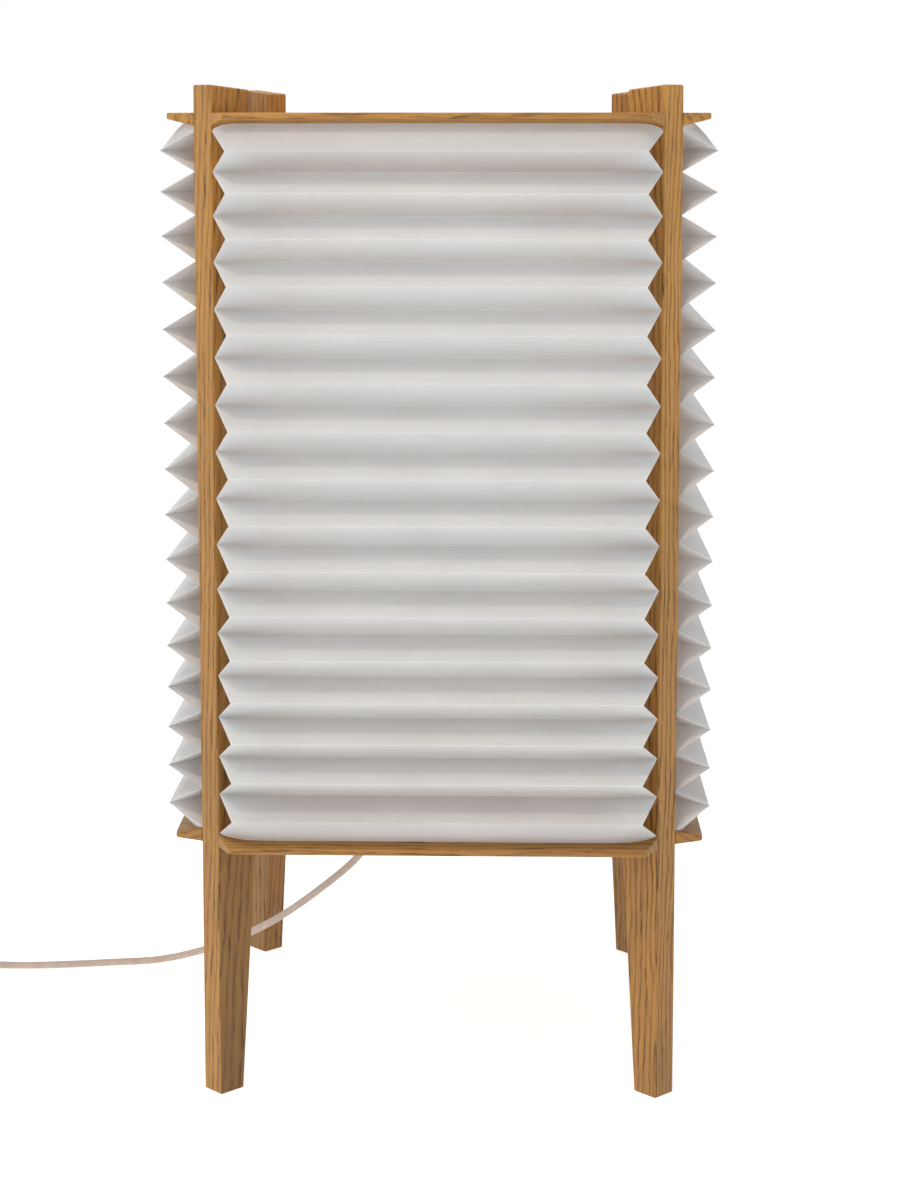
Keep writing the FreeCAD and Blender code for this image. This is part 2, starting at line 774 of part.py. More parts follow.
# From the bushing down to the floor behind the left front leg, and on to the switch.
CORD_ROUTE = [
    (SIZE["bushing_across"].value, SIZE["bushing_back"].value, CORD_EXIT),
    (SIZE["bushing_across"].value, SIZE["bushing_back"].value, 115.0),
    (-57.0, 29.5, 95.5),
    (-81.5, 44.5, 71.0),
    (-110.0, 61.0, 45.5),
    (-138.0, 76.5, 26.0),
    (-168.0, 88.5, 11.0),
    (-199.0, 92.5, CORD_LIFT),
    (-228.0, 88.0, CORD_LIFT),
    (-259.0, 82.5, CORD_LIFT),
    (-290.0, 79.2, CORD_LIFT),
    (-315.0, 78.2, 3.2),
    (SWITCH_ENDS[0] + 13, SIZE["switch_back"].value, SWITCH_CORD),
    (SWITCH_ENDS[0], SIZE["switch_back"].value, SWITCH_CORD),
]
# From the switch to the put-away coil.
LEAD_ROUTE = [
    (SWITCH_ENDS[1], SIZE["switch_back"].value, SWITCH_CORD),
    (SWITCH_ENDS[1] - 9, SIZE["switch_back"].value, SWITCH_CORD),
    (COIL_START + 9, COIL_TOP, CORD_LIFT),
    (COIL_START, COIL_TOP, CORD_LIFT),
]
# From the coil's upper layer to the plug.
TAIL_ROUTE = [
    (COIL_START, COIL_FOOT, COIL_LIFT),
    (COIL_START + 9, COIL_FOOT, COIL_LIFT),
    (PLUG_REAR - 9, COIL_FOOT, PLUG_AXIS),
    (PLUG_REAR, COIL_FOOT, PLUG_AXIS),
]


def rounded_path(points):
    """Straight runs joined by tangent arcs, each as large as its two runs allow."""
    spots = [Vector(*point) for point in points]
    edges, radii = [], []
    start = spots[0]
    for before, corner, after in zip(spots, spots[1:], spots[2:]):
        back, ahead = before - corner, after - corner
        turn = math.pi - back.getAngle(ahead)
        reach = 0.45 * min(back.Length, ahead.Length)
        radius = reach / math.tan(turn / 2)
        back.normalize()
        ahead.normalize()
        enter, leave = corner + back * reach, corner + ahead * reach
        inwards = (back + ahead).normalize()
        centre = corner + inwards * (radius / math.cos(turn / 2))
        middle = centre - inwards * radius
        edges.append(Part.LineSegment(start, enter).toShape())
        edges.append(Part.Arc(enter, middle, leave).toShape())
        radii.append(radius)
        start = leave
    edges.append(Part.LineSegment(start, spots[-1]).toShape())
    return edges, radii


def round_tube(edges, radius):
    """A solid round tube along joined edges."""
    first = edges[0]
    start, heading = first.valueAt(first.FirstParameter), first.tangentAt(first.FirstParameter)
    section = Part.Wire([Part.Circle(start, heading, radius).toShape()])
    return Part.Wire(edges).makePipeShell([section], True, False)


def make_tube(label, edges, radius, radii=()):
    """A sub-part that is a tube, with its length, tightest arc and volume printed."""
    tube = doc.addObject("Part::Feature", label)
    tube.Shape = round_tube(edges, radius)
    place(tube)
    length = sum(edge.Length for edge in edges)
    expected = math.pi * radius**2 * length
    share = tube.Shape.Volume / expected
    listed = ", ".join(f"{value:.0f}" for value in radii)
    print(f"{label}: length {length:.1f} mm, volume share {share:.4f}, arc radii {listed}")
    if abs(share - 1) > 0.01:
        raise RuntimeError(f"{label}: the tube's volume is not its section times its length")
    return keep(tube, label)


def coil_path():
    """Half turns in, a half turn that climbs, and half turns out again on top.

    Every half turn is a semicircle between points on the coil's Y axis.
    """
    pitch, outer = SIZE["coil_pitch"].value, SIZE["coil_outer"].value
    inner = outer - 3 * pitch
    lower = [outer, outer, outer - pitch, outer - pitch, outer - 2 * pitch, outer - 2 * pitch]
    lower += [inner, inner]
    upper = [inner - pitch] + [inner + step * pitch for step in (1, 1, 2, 2, 3)]
    points = []
    for layer, (offsets, height) in enumerate(((lower, CORD_LIFT), (upper, COIL_LIFT))):
        for number, offset in enumerate(offsets):
            side = 1 if number % 2 == 0 else -1
            points.append(Vector(COIL_X, SIZE["coil_back"].value + side * offset, height))
    edges = [Part.LineSegment(Vector(COIL_START, COIL_TOP, CORD_LIFT), points[0]).toShape()]
    for number, (start, end) in enumerate(zip(points, points[1:])):
        bulge = (end - start).Length / 2 * (-1 if number % 2 == 0 else 1)
        middle = (start + end) * 0.5 + Vector(bulge, 0, 0)
        edges.append(Part.Arc(start, middle, end).toShape())
    edges.append(Part.LineSegment(points[-1], Vector(COIL_START, COIL_FOOT, COIL_LIFT)).toShape())
    return edges


def least_self_gap(edges, radius):
    """The least distance between stretches of a tube that are not neighbours."""
    path = Part.Wire(edges)
    count = int(path.Length / 2)
    points = path.discretize(Number=count)
    step = path.Length / (count - 1)
    apart = int(math.ceil(math.pi * radius * 3 / step))
    least = min(
        (a - b).Length
        for i, a in enumerate(points)
        for b in points[i + apart :]
    )
    return least - 2 * radius


def make_cord():
    """The bushing, the cord's free stretches, the coil and the stretch inside the shade."""
    cord = SIZE["cord_diameter"] / 2
    bushing = turned(
        "cord_bushing",
        [
            (cord, -SIZE["bushing_drop"]),
            (cord + 1.2, -SIZE["bushing_drop"]),
            (7.5, -2),
            (7.5, 0),
            (5, 0),
            (5, SIZE["board_thick"]),
            (7, SIZE["board_thick"]),
            (7, SIZE["board_thick"] + 1.5),
            (cord, SIZE["board_thick"] + 1.5),
        ],
    )
    place(bushing, SIZE["bushing_across"], SIZE["bushing_back"], SIZE["bottom_board_low"])
    for label, route in (
        ("mains_cord", CORD_ROUTE),
        ("cord_lead", LEAD_ROUTE),
        ("cord_tail", TAIL_ROUTE),
    ):
        edges, radii = rounded_path(route)
        make_tube(label, edges, CORD_RADIUS, radii)
    coil = coil_path()
    make_tube("cord_coil", coil, CORD_RADIUS, [edge.Curve.Radius for edge in coil[1:-1]])
    print(f"cord_coil: least gap to itself {least_self_gap(coil, CORD_RADIUS):.2f} mm")

    across, back = SIZE["bushing_across"].value, SIZE["bushing_back"].value
    floor = SIZE["bottom_board_low"].value + SIZE["board_thick"].value
    towards = Vector(-across, -back, 0)
    run = towards.Length - SIZE["holder_radius"].value + SIZE["holder_wall"].value
    towards.normalize()
    level = floor + ENTRY_HEIGHT
    bend = 12
    foot = Vector(across, back, SIZE["bottom_board_low"].value - SIZE["bushing_drop"].value)
    under = Vector(across, back, level - bend)
    side = Vector(across, back, level) + towards * bend
    middle = Vector(across, back, level - bend) + towards * bend
    middle += (Vector(0, 0, 1) - towards).normalize() * bend
    inside = Vector(across, back, level) + towards * run
    edges = [
        Part.LineSegment(foot, under).toShape(),
        Part.Arc(under, middle, side).toShape(),
        Part.LineSegment(side, inside).toShape(),
    ]
    make_tube("inner_cord", edges, CORD_RADIUS, [bend])
    wires = []
    for sign in (1, -1):
        start = inside + Vector(-towards.y, towards.x, 0) * sign * 1.1
        terminal_side = 1 if start.y > inside.y else -1
        end = Vector(0, 7.0 * terminal_side, floor + SIZE["holder_base_height"].value - 9.5)
        knee = start + towards * 7
        path, _ = rounded_path([start, knee, Vector(end.x, end.y, start.z), end])
        wires.append(round_tube(path, 0.7))
    leads = doc.addObject("Part::Feature", "inner_leads")
    leads.Shape = Part.makeCompound(wires)
    place(leads)
    keep(leads, "inner_leads")


# ---------------------------------------------------------------- switch on the cord


def oblong(long, wide, cut):
    """A rectangle with its four corners cut, about the sketch's origin."""
    corner = [(long / 2, wide / 2 - cut), (long / 2 - cut, wide / 2)]
    outline = list(corner)
    outline += [(-a, b) for a, b in corner[::-1]]
    outline += [(-a, -b) for a, b in corner]
    outline += [(a, -b) for a, b in corner[::-1]]
    return outline


def rectangle(half_long, half_wide):
    signs = ((1, 1), (-1, 1), (-1, -1), (1, -1))
    return [(as_length(half_long) * a, as_length(half_wide) * b) for a, b in signs]


def make_switch():
    """An in-line rocker switch: two halves, rocker on a pin, contacts, screws, sleeves."""
    long, wide, high = SIZE["switch_long"], SIZE["switch_wide"], SIZE["switch_half_height"]
    across, back = SIZE["switch_across"], SIZE["switch_back"]
    window_long, window_wide = SIZE["rocker_long"] / 2 + 1.4, SIZE["rocker_wide"] / 2 + 0.3
    screw_across, corner_cut = 25, 6
    pin_reach = 3

    lower = new_body("switch_lower_housing")
    outline = new_sketch(lower, "lower_outline", "XY_Plane")
    add_outline(outline, oblong(long, wide, corner_cut))
    pad(lower, outline, high)
    round_edges(lower, 2, lambda middle, edge: abs(middle.z) < 0.01)
    cavity = new_sketch(lower, "lower_cavity", "XY_Plane", high)
    add_outline(cavity, rectangle(window_long, window_wide))
    pocket(lower, cavity, high - 2.5)
    holes = new_sketch(lower, "lower_screw_holes", "XY_Plane", high)
    for side in (1, -1):
        add_circle(holes, screw_across * side, 0, 1.4)
    pocket(lower, holes)
    sinks = new_sketch(lower, "lower_screw_sinks", "XY_Plane", 2)
    for side in (1, -1):
        add_circle(sinks, screw_across * side, 0, 2.7)
    pocket(lower, sinks)
    place(lower, across, back)
    keep(lower, "switch_lower_housing")

    upper = new_body("switch_upper_housing")
    outline = new_sketch(upper, "upper_outline", "XY_Plane")
    add_outline(outline, oblong(long, wide, corner_cut))
    pad(upper, outline, high)
    round_edges(upper, 3, lambda middle, edge: abs(middle.z - high.value) < 0.01)
    window = new_sketch(upper, "upper_window", "XY_Plane", high)
    add_outline(window, rectangle(window_long, window_wide))
    pocket(upper, window)
    pin_seat = new_sketch(upper, "upper_pin_seat", "XZ_Plane")
    add_circle(pin_seat, 0, SIZE["pivot_height"] - high, SIZE["pivot_radius"])
    pocket(upper, pin_seat, (window_wide + pin_reach) * 2, symmetric=True)
    threads = new_sketch(upper, "upper_screw_holes", "XY_Plane", 5)
    for side in (1, -1):
        add_circle(threads, screw_across * side, 0, 1.4)
    pocket(upper, threads)
    place(upper, across, back, high)
    keep(upper, "switch_upper_housing")

    half = SIZE["rocker_long"] / 2
    rocker = new_body("switch_rocker")
    side_view = new_sketch(rocker, "rocker_side", "XZ_Plane")
    dish = half * math.tan(math.radians(SIZE["rocker_tilt"].value))
    add_outline(
        side_view,
        [
            (-half, dish + 4.3),
            (-half, 0.5),
            (-half + 3, -3.5),
            (half - 3, -3.5),
            (half, 0.5),
            (half, dish + 4.3),
            (0, 4.3),
        ],
    )
    pad(rocker, side_view, SIZE["rocker_wide"], symmetric=True)
    bore = new_sketch(rocker, "rocker_bore", "XZ_Plane")
    add_circle(bore, 0, 0, SIZE["pivot_radius"] + 0.05)
    pocket(rocker, bore, symmetric=True)
    place(rocker, across, back, SIZE["pivot_height"], (Vector(0, 1, 0), -SIZE["rocker_tilt"].value))
    keep(rocker, "switch_rocker")

    pin_half = window_wide + pin_reach
    pin = cylinder(
        "switch_pivot_pin",
        SIZE["pivot_radius"],
        pin_half * 2,
        across,
        back + pin_half,
        SIZE["pivot_height"],
        (Vector(1, 0, 0), 90),
    )
    keep(pin, "switch_pivot_pin")
    strips = []
    for side in (1, -1):
        strip_box = doc.addObject("Part::Box", f"contact_{side}")
        bind(strip_box, Length=7, Width=4, Height=0.8)
        place(strip_box, across + side * 6 - 3.5, back - 2, 2.5)
        strips.append(strip_box)
    grouped("switch_contacts", strips)
    screws = []
    for side in (1, -1):
        spot = (across + screw_across * side, back)
        shank = cylinder(f"switch_screw_{side}", 1.4, 10.8, *spot, 2)
        head = cylinder(f"switch_screw_head_{side}", 2.7, 1.6, *spot, 0.4)
        screws += [shank, head]
    grouped("switch_screws", screws)
    sleeves = []
    for side in (1, -1):
        sleeve = doc.addObject("Part::Cone", f"switch_sleeve_{side}")
        bind(sleeve, Radius1=5, Radius2=SIZE["cord_diameter"] / 2 + 1, Height=SIZE["bushing_taper"])
        turn = (Vector(0, 1, 0), 90 * side)
        place(sleeve, across + long / 2 * side, back, SIZE["switch_cord_height"], turn)
        sleeves.append(sleeve)
    grouped("switch_cord_sleeves", sleeves)


# ---------------------------------------------------------------- plug on the cord


def make_plug():
    """A flat two-pin plug with a tapered cord sleeve, lying on the floor."""
    front, back = SIZE["plug_front"], as_length(COIL_FOOT)
    wide, high, long = SIZE["plug_wide"], SIZE["plug_high"], SIZE["plug_long"]
    axis_height = high / 2
    body = new_body("plug_body")
    sections = []
    shapes = ((0, 1.0, 1.0, 4.5), (-9, 1.0, 1.0, 4.5), (-24, 0.84, 0.94, 4.5), (-33, 0.42, 0.8, 3.0))
    for number, (along, wide_share, high_share, cut) in enumerate(shapes):
        sketch = new_sketch(body, f"plug_section_{number}", "YZ_Plane", long * (along / 33.0))
        add_outline(sketch, oblong(wide * wide_share, high * high_share, cut))
        sections.append(sketch)
    loft = body.newObject("PartDesign::AdditiveLoft", "plug_loft")
    loft.Profile = sections[0]
    loft.Sections = sections[1:]
    loft.Ruled = True
    doc.recompute()
    place(body, front, back, axis_height)
    keep(body, "plug_body")

    sleeve = doc.addObject("Part::Cone", "plug_sleeve")
    bind(sleeve, Radius1=5, Radius2=SIZE["cord_diameter"] / 2 + 0.9, Height=SIZE["plug_taper"])
    place(sleeve, front - long, back, axis_height, (Vector(0, 1, 0), -90))
    keep(sleeve, "plug_cord_sleeve")

    pins = []
    for side in (1, -1):
        spot = (front, back + SIZE["pin_spacing"] / 2 * side, axis_height)
        shank_length = SIZE["pin_length"] - SIZE["pin_radius"]
        shank = cylinder(f"plug_pin_{side}", SIZE["pin_radius"], shank_length, *spot, (Vector(0, 1, 0), 90))
        tip = doc.addObject("Part::Sphere", f"plug_pin_tip_{side}")
        bind(tip, Radius=SIZE["pin_radius"])
        place(tip, front + shank_length, spot[1], axis_height)
        pins += [shank, tip]
    grouped("plug_pins", pins)


# ---------------------------------------------------------------- assembly

for label, heading in (
    ("leg_front_left", 225),
    ("leg_front_right", 315),
    ("leg_rear_right", 45),
    ("leg_rear_left", 135),
):
    make_leg(label, heading)
make_board("top_board", SIZE["top_board_low"], False, [(0, 0, SIZE["top_opening"])])
entry_heading = math.atan2(SIZE["bushing_back"].value, SIZE["bushing_across"].value)
pilot_holes = [
    (-12 * side * math.sin(entry_heading), 12 * side * math.cos(entry_heading), 1.5) for side in (1, -1)
]
make_board(
    "bottom_board",
    SIZE["bottom_board_low"],
    True,
    [(SIZE["bushing_across"], SIZE["bushing_back"], 5)],
    pilot_holes,
)
make_dowels()
for label, heading in (
    ("shade_panel_front", 180),
    ("shade_panel_right", 270),
    ("shade_panel_rear", 0),
    ("shade_panel_left", 90),
):
    make_shade_panel(label, heading)
make_bulb(make_holder())
make_cord()
make_switch()
make_plug()

doc.recompute()
broken = [thing.Label for thing in doc.Objects if {"Invalid", "Error"} & set(thing.State)]
for thing in SUBPARTS:
    if thing.Shape.isNull() or not thing.Shape.isValid() or thing.Shape.Volume <= 0:
        broken.append(thing.Label)
if broken:
    raise RuntimeError(f"these objects failed: {sorted(set(broken))}")

os.makedirs("parts", exist_ok=True)
for thing in SUBPARTS:
    thing.Shape.exportStep(f"parts/{thing.Label}.step")
print(f"{len(SUBPARTS)} sub-parts written")
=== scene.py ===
import math

import bmesh
import bpy
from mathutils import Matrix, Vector, noise


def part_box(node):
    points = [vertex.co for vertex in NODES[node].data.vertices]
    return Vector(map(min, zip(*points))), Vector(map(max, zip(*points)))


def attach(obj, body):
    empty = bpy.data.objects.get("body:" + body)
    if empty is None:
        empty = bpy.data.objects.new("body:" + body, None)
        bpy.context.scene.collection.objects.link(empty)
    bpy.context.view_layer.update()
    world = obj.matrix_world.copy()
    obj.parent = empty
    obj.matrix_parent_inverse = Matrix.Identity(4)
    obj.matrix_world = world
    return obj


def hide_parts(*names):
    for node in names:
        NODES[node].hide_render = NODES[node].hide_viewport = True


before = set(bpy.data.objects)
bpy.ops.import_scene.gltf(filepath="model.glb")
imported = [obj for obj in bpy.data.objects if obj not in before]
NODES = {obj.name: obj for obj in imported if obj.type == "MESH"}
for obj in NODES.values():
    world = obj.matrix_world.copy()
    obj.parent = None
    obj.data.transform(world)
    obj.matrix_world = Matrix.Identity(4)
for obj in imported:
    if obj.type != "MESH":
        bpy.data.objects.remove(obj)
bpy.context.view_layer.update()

# Looks of the pleated paper table lamp, in metres, in the frame of its CAD model:
# +Z up, origin on the floor at the lamp's axis, the front at -Y. Textures and the
# profiles of small pieces count in millimetres, and MM brings a length to metres.

MM = 0.001
ROOT_HALF = math.sqrt(0.5)


# ---------------------------------------------------------------- camera

CAMERA_PLACE = (0.0412, -1.5734, 0.5800)
CAMERA_DOWN = 0.1216  # radians below the horizon
CAMERA_TURN = 0.0237  # radians to the left
CAMERA_LENS = 74.9  # millimetres
CAMERA_SHIFT = -0.146


def add_camera():
    """The photograph's viewpoint, worked out from the legs, the boards and the pleats."""
    camera = bpy.data.objects.new("camera", bpy.data.cameras.new("camera"))
    camera.location = CAMERA_PLACE
    camera.rotation_euler = (math.pi / 2 - CAMERA_DOWN, 0, CAMERA_TURN)
    camera.data.lens = CAMERA_LENS
    camera.data.shift_y = CAMERA_SHIFT
    bpy.context.scene.collection.objects.link(camera)
    bpy.context.scene.camera = camera


# ---------------------------------------------------------------- node trees


def paint(red, green, blue):
    """A colour given as 0 to 255 on the screen, as linear light."""
    channels = []
    for value in (red, green, blue):
        share = value / 255
        channels.append(share / 12.92 if share <= 0.04045 else ((share + 0.055) / 1.055) ** 2.4)
    return (*channels, 1.0)


def darkened(colour, share):
    return tuple(channel * share for channel in colour[:3]) + (1.0,)


class Tree:
    """A node tree, with short calls for nodes and links."""

    def __init__(self, tree):
        self.tree = tree

    def feed(self, socket, value):
        """Links an input to another node's output, or gives it a value of its own."""
        if isinstance(value, bpy.types.NodeSocket):
            self.tree.links.new(value, socket)
        else:
            socket.default_value = value

    def node(self, kind, *values, **settings):
        """A node with its settings, and values for its inputs in their order."""
        made = self.tree.nodes.new(f"ShaderNode{kind}")
        for key, value in settings.items():
            setattr(made, key, value)
        for socket, value in zip(made.inputs, values):
            self.feed(socket, value)
        return made

    def math(self, operation, *values):
        return self.node("Math", *values, operation=operation).outputs[0]

    def dot(self, first, second):
        made = self.node("VectorMath", first, second, operation="DOT_PRODUCT")
        return made.outputs["Value"]


class Shader(Tree):
    """A material's node tree round one Principled surface."""

    def __init__(self, name, **settings):
        self.material = bpy.data.materials.new(name)
        self.material.use_nodes = True
        super().__init__(self.material.node_tree)
        self.surface = self.tree.nodes["Principled BSDF"]
        for key, value in settings.items():
            self.give(key.replace("_", " ").title(), value)

    def give(self, name, value):
        """Feeds one of the surface's own inputs."""
        self.feed(self.surface.inputs[name], value)

    def spot(self, turn=(0, 0, 0), shift=(0, 0, 0)):
        """Coordinates on the object, turned, shifted and counted in millimetres."""
        place = self.node("TexCoord").outputs["Object"]
        unit = 1 / MM
        return self.node("Mapping", place, shift, turn, (unit, unit, unit)).outputs[0]

    def noise(self, vector, stretch=None, scale=1.0, detail=2.0, roughness=0.5):
        """Cloudy noise. A stretch gives it a direction: its waves per millimetre each way."""
        if stretch is not None:
            vector = self.node("VectorMath", vector, stretch, operation="MULTIPLY").outputs[0]
        made = self.node("TexNoise", vector)
        made.inputs["Scale"].default_value = scale
        made.inputs["Detail"].default_value = detail
        made.inputs["Roughness"].default_value = roughness
        return made.outputs[0]

    def span(self, value, old, new=(0.0, 1.0)):
        """Brings the value's stretch between two levels to a new one, cut off at its ends."""
        return self.node("MapRange", value, *old, *new).outputs[0]

    def mix(self, share, first, second, blend="MIX"):
        made = self.tree.nodes.new("ShaderNodeMix")
        made.data_type = "RGBA"
        made.blend_type = blend
        for index, value in ((0, share), (6, first), (7, second)):
            self.feed(made.inputs[index], value)
        return made.outputs[2]

    def ramp(self, value, stops):
        """A grey level that runs through (place, level) stops."""
        made = self.node("ValToRGB", value)
        elements = made.color_ramp.elements
        while len(elements) < len(stops):
            elements.new(0.5)
        for element, (place, level) in zip(elements, stops):
            element.position = place
            element.color = (level, level, level, 1)
        return made.outputs[0]

    def bump(self, height, distance, strength):
        made = self.tree.nodes.new("ShaderNodeBump")
        made.inputs["Strength"].default_value = strength
        made.inputs["Distance"].default_value = distance * MM
        self.feed(made.inputs["Height"], height)
        self.give("Normal", made.outputs[0])

    def let_through(self, share, colour):
        """Lets a share of the light through, scattered, as thin paper does."""
        through = self.node("BsdfTranslucent", colour).outputs[0]
        both = self.node("MixShader", share, self.surface.outputs[0], through).outputs[0]
        self.feed(self.tree.nodes["Material Output"].inputs["Surface"], both)


# ---------------------------------------------------------------- materials

LATE_WOOD = paint(203, 145, 68)
EARLY_WOOD = paint(139, 87, 27)
WOOD_PORE = paint(62, 33, 9)
PORE_DARKNESS = 0.85
TREE_STEP = 400.0  # millimetres between the stretches of wood that two boards come from
# a leg's painted shade and light run between these heights, darker at the foot
LAMP_SPAN = (0, 600)  # the heights between which a leg's tone runs
RING_WAVERS = (  # how the rings wander: (waves per millimetre, reach in millimetres)
    ((0.02, 0.02, 0.005), 5.0),
    ((0.13, 0.13, 0.03), 0.9),
    ((0.7, 0.7, 0.11), 0.35),
)
RING_PROFILE = (  # across one growth ring: (place, share of early wood)
    (0.0, 1.0),
    (0.16, 0.62),
    (0.36, 0.14),
    (0.62, 0.0),
    (0.90, 0.12),
    (0.99, 0.9),
)
PORE_WAVER = ((0.10, 0.10, 0.022), 1.6)
PORE_GRAIN = (1.15, 1.15, 0.045)
PORE_CROWDING = (0.12, 0.12, 0.02)
WOOD_FIBRE = (2.2, 2.2, 0.03)
WOOD_PATCHES = (0.05, 0.05, 0.006)


def oak(name, seed, turn, pith, lean, ring_width, tone_and_shade, figure=0.55, heading=0, broad_side_shading=None):
    """Oiled oak.

    Turn brings the grain to the texture's Z. The growth rings stand round a pith that
    lies off the board, in millimetres, and leans against it. Tone is the wood's depth of
    colour at the lamp's foot and at its top; on a leg, the darker foot is painted shade and
    the lighter top painted light. Figure is the contrast of its rings. The broad sides' pair
    paints shade or light, at foot and top, onto the broad sides of a leg that points to its
    heading.
    """
    shader = Shader(name)
    whole = shader.spot(turn, (0, 0, TREE_STEP * seed))
    tilted = shader.node("Mapping", whole, (-pith[0], -pith[1], 0), (*lean, 0)).outputs[0]

    def waver(stretch, reach):
        """A shift in millimetres, either way by about the reach."""
        return shader.span(shader.noise(whole, stretch), (0.2, 0.8), (-reach, reach))

    split = shader.node("SeparateXYZ", tilted).outputs
    squares = [shader.math("MULTIPLY", side, side) for side in split[:2]]
    radius = shader.math("SQRT", shader.math("ADD", *squares))
    for stretch, reach in RING_WAVERS:
        radius = shader.math("ADD", radius, waver(stretch, reach))
    ring = shader.math("FRACT", shader.math("DIVIDE", radius, ring_width))
    early = shader.ramp(ring, RING_PROFILE)

    bent = shader.node("VectorMath", whole, waver(*PORE_WAVER), operation="ADD").outputs[0]
    pores = shader.span(shader.noise(bent, PORE_GRAIN, roughness=0.55), (0.50, 0.61))
    crowding = shader.noise(whole, PORE_CROWDING, detail=1)
    crowd = shader.math(
        "MULTIPLY",
        shader.span(early, (0, 1), (0.30, 1.0)),
        shader.span(crowding, (0.3, 0.6), (0.35, 1)),
    )
    pores = shader.math("MULTIPLY", pores, crowd)
    fibre = shader.noise(whole, WOOD_FIBRE, detail=3, roughness=0.65)
    patch = shader.noise(whole, WOOD_PATCHES)

    height = shader.node("SeparateXYZ", shader.spot()).outputs[2]
    # painted shade and light: on a leg, darker towards the lamp's foot, lighter towards its top
    depth = shader.span(height, LAMP_SPAN, tone_and_shade)
    # painted shade and light on a leg's broad sides, by which way they face
    if broad_side_shading is not None:
        turned = math.radians(heading)
        broad_side = (-math.sin(turned), math.cos(turned), 0)
        facing = shader.dot(shader.node("TexCoord").outputs["Normal"], broad_side)
        facing = shader.math("ABSOLUTE", facing)
        change = shader.span(height, LAMP_SPAN, broad_side_shading)
        depth = shader.math("MULTIPLY", depth, shader.span(facing, (0.3, 0.8), (1.0, change)))
    depth = shader.math("MULTIPLY", shader.span(patch, (0.3, 0.7), (0.90, 1.08)), depth)
    depth = shader.math("MULTIPLY", depth, shader.span(fibre, (0.25, 0.75), (0.90, 1.09)))
    shade = shader.node("CombineXYZ", depth, depth, depth).outputs[0]

    colour = shader.mix(shader.math("MULTIPLY", early, figure), LATE_WOOD, EARLY_WOOD)
    colour = shader.mix(1.0, colour, shade, "MULTIPLY")
    colour = shader.mix(shader.math("MULTIPLY", pores, PORE_DARKNESS), colour, WOOD_PORE)
    shader.give("Base Color", colour)
    shader.give("Roughness", shader.span(pores, (0, 1), (0.48, 0.72)))
    relief = shader.math("SUBTRACT", shader.math("MULTIPLY", fibre, 0.35), pores)
    shader.bump(relief, distance=0.16, strength=0.7)
    return shader.material


# the crease mark is where the painted highlight of a crease lies; the flap mark is where a flap
# lies folded behind the sheet
PAPER_MARKS = ("crease", "flap")
PAPER_DIM = paint(233, 232, 231)
PAPER_BRIGHT = paint(241, 240, 239)
PAPER_FIBRE = paint(213, 211, 209)
# painted highlight along the creases
PAPER_CREASE_HIGHLIGHT = paint(255, 254, 252)
PAPER_THROUGH = paint(251, 252, 252)
SHEET_LETS_THROUGH = 0.46
FLAP_LETS_THROUGH = 0.05  # it lies folded behind the sheet


def paper():
    """White laminated paper: matt, faintly cloudy, with fine fibres and a painted highlight along
    its creases.

    The panels' meshes mark where a crease runs and what is a flap.
    """
    shader = Shader("paper", roughness=0.62)
    spot = shader.spot()
    cloud = shader.noise(spot, (0.018, 0.018, 0.06), detail=3)
    fibre = shader.noise(spot, (1.3, 1.3, 2.0), detail=4, roughness=0.7)
    crease, flap = [
        shader.node("Attribute", attribute_name=mark).outputs["Fac"] for mark in PAPER_MARKS
    ]
    colour = shader.mix(shader.span(cloud, (0.35, 0.65)), PAPER_DIM, PAPER_BRIGHT)
    colour = shader.mix(shader.span(fibre, (0.45, 0.75), (0, 0.10)), colour, PAPER_FIBRE)
    # painted highlight along the creases
    shader.give("Base Color", shader.mix(crease, colour, PAPER_CREASE_HIGHLIGHT))
    relief = shader.math("ADD", fibre, shader.math("MULTIPLY", cloud, 6.0))
    shader.bump(relief, distance=0.05, strength=0.5)
    through = shader.span(flap, (0, 1), (SHEET_LETS_THROUGH, FLAP_LETS_THROUGH))
    shader.let_through(through, PAPER_THROUGH)
    return shader.material


def moulded(name, colour, roughness):
    """Moulded plastic with a fine spark-eroded grain and a faint unevenness."""
    shader = Shader(name)
    spot = shader.spot()
    grains = shader.noise(spot, scale=3.2)
    uneven = shader.noise(spot, scale=0.12)
    tint = shader.mix(shader.span(uneven, (0.35, 0.65)), colour, darkened(colour, 0.90))
    shader.give("Base Color", tint)
    gloss = (roughness - 0.06, roughness + 0.08)
    shader.give("Roughness", shader.span(grains, (0.3, 0.7), gloss))
    shader.bump(grains, distance=0.03, strength=0.6)
    return shader.material


def metal(name, colour, roughness, brushed=(1, 1, 1)):
    """Bare metal with faint drawing marks and a little dulling."""
    shader = Shader(name, metallic=1.0)
    spot = shader.spot()
    marks = shader.noise(spot, brushed, scale=2.0, detail=4, roughness=0.7)
    dull = shader.noise(spot, scale=0.2, detail=3)
    tint = shader.mix(shader.span(dull, (0.4, 0.7)), colour, darkened(colour, 0.72))
    shader.give("Base Color", tint)
    gloss = (roughness * 0.7, roughness * 1.4)
    shader.give("Roughness", shader.span(marks, (0.3, 0.7), gloss))
    shader.bump(marks, distance=0.01, strength=0.5)
    return shader.material


def opal_glass():
    """The bulb's opal glass: milky, with a smooth clear skin."""
    shader = Shader("opal_glass", roughness=0.12, subsurface_weight=0.35, coat_weight=0.4)
    shader.give("Subsurface Scale", 6 * MM)
    cloud = shader.noise(shader.spot(), scale=0.06)
    milk, clear = paint(243, 240, 233), paint(250, 248, 243)
    shader.give("Base Color", shader.mix(shader.span(cloud, (0.3, 0.7)), milk, clear))
    return shader.material


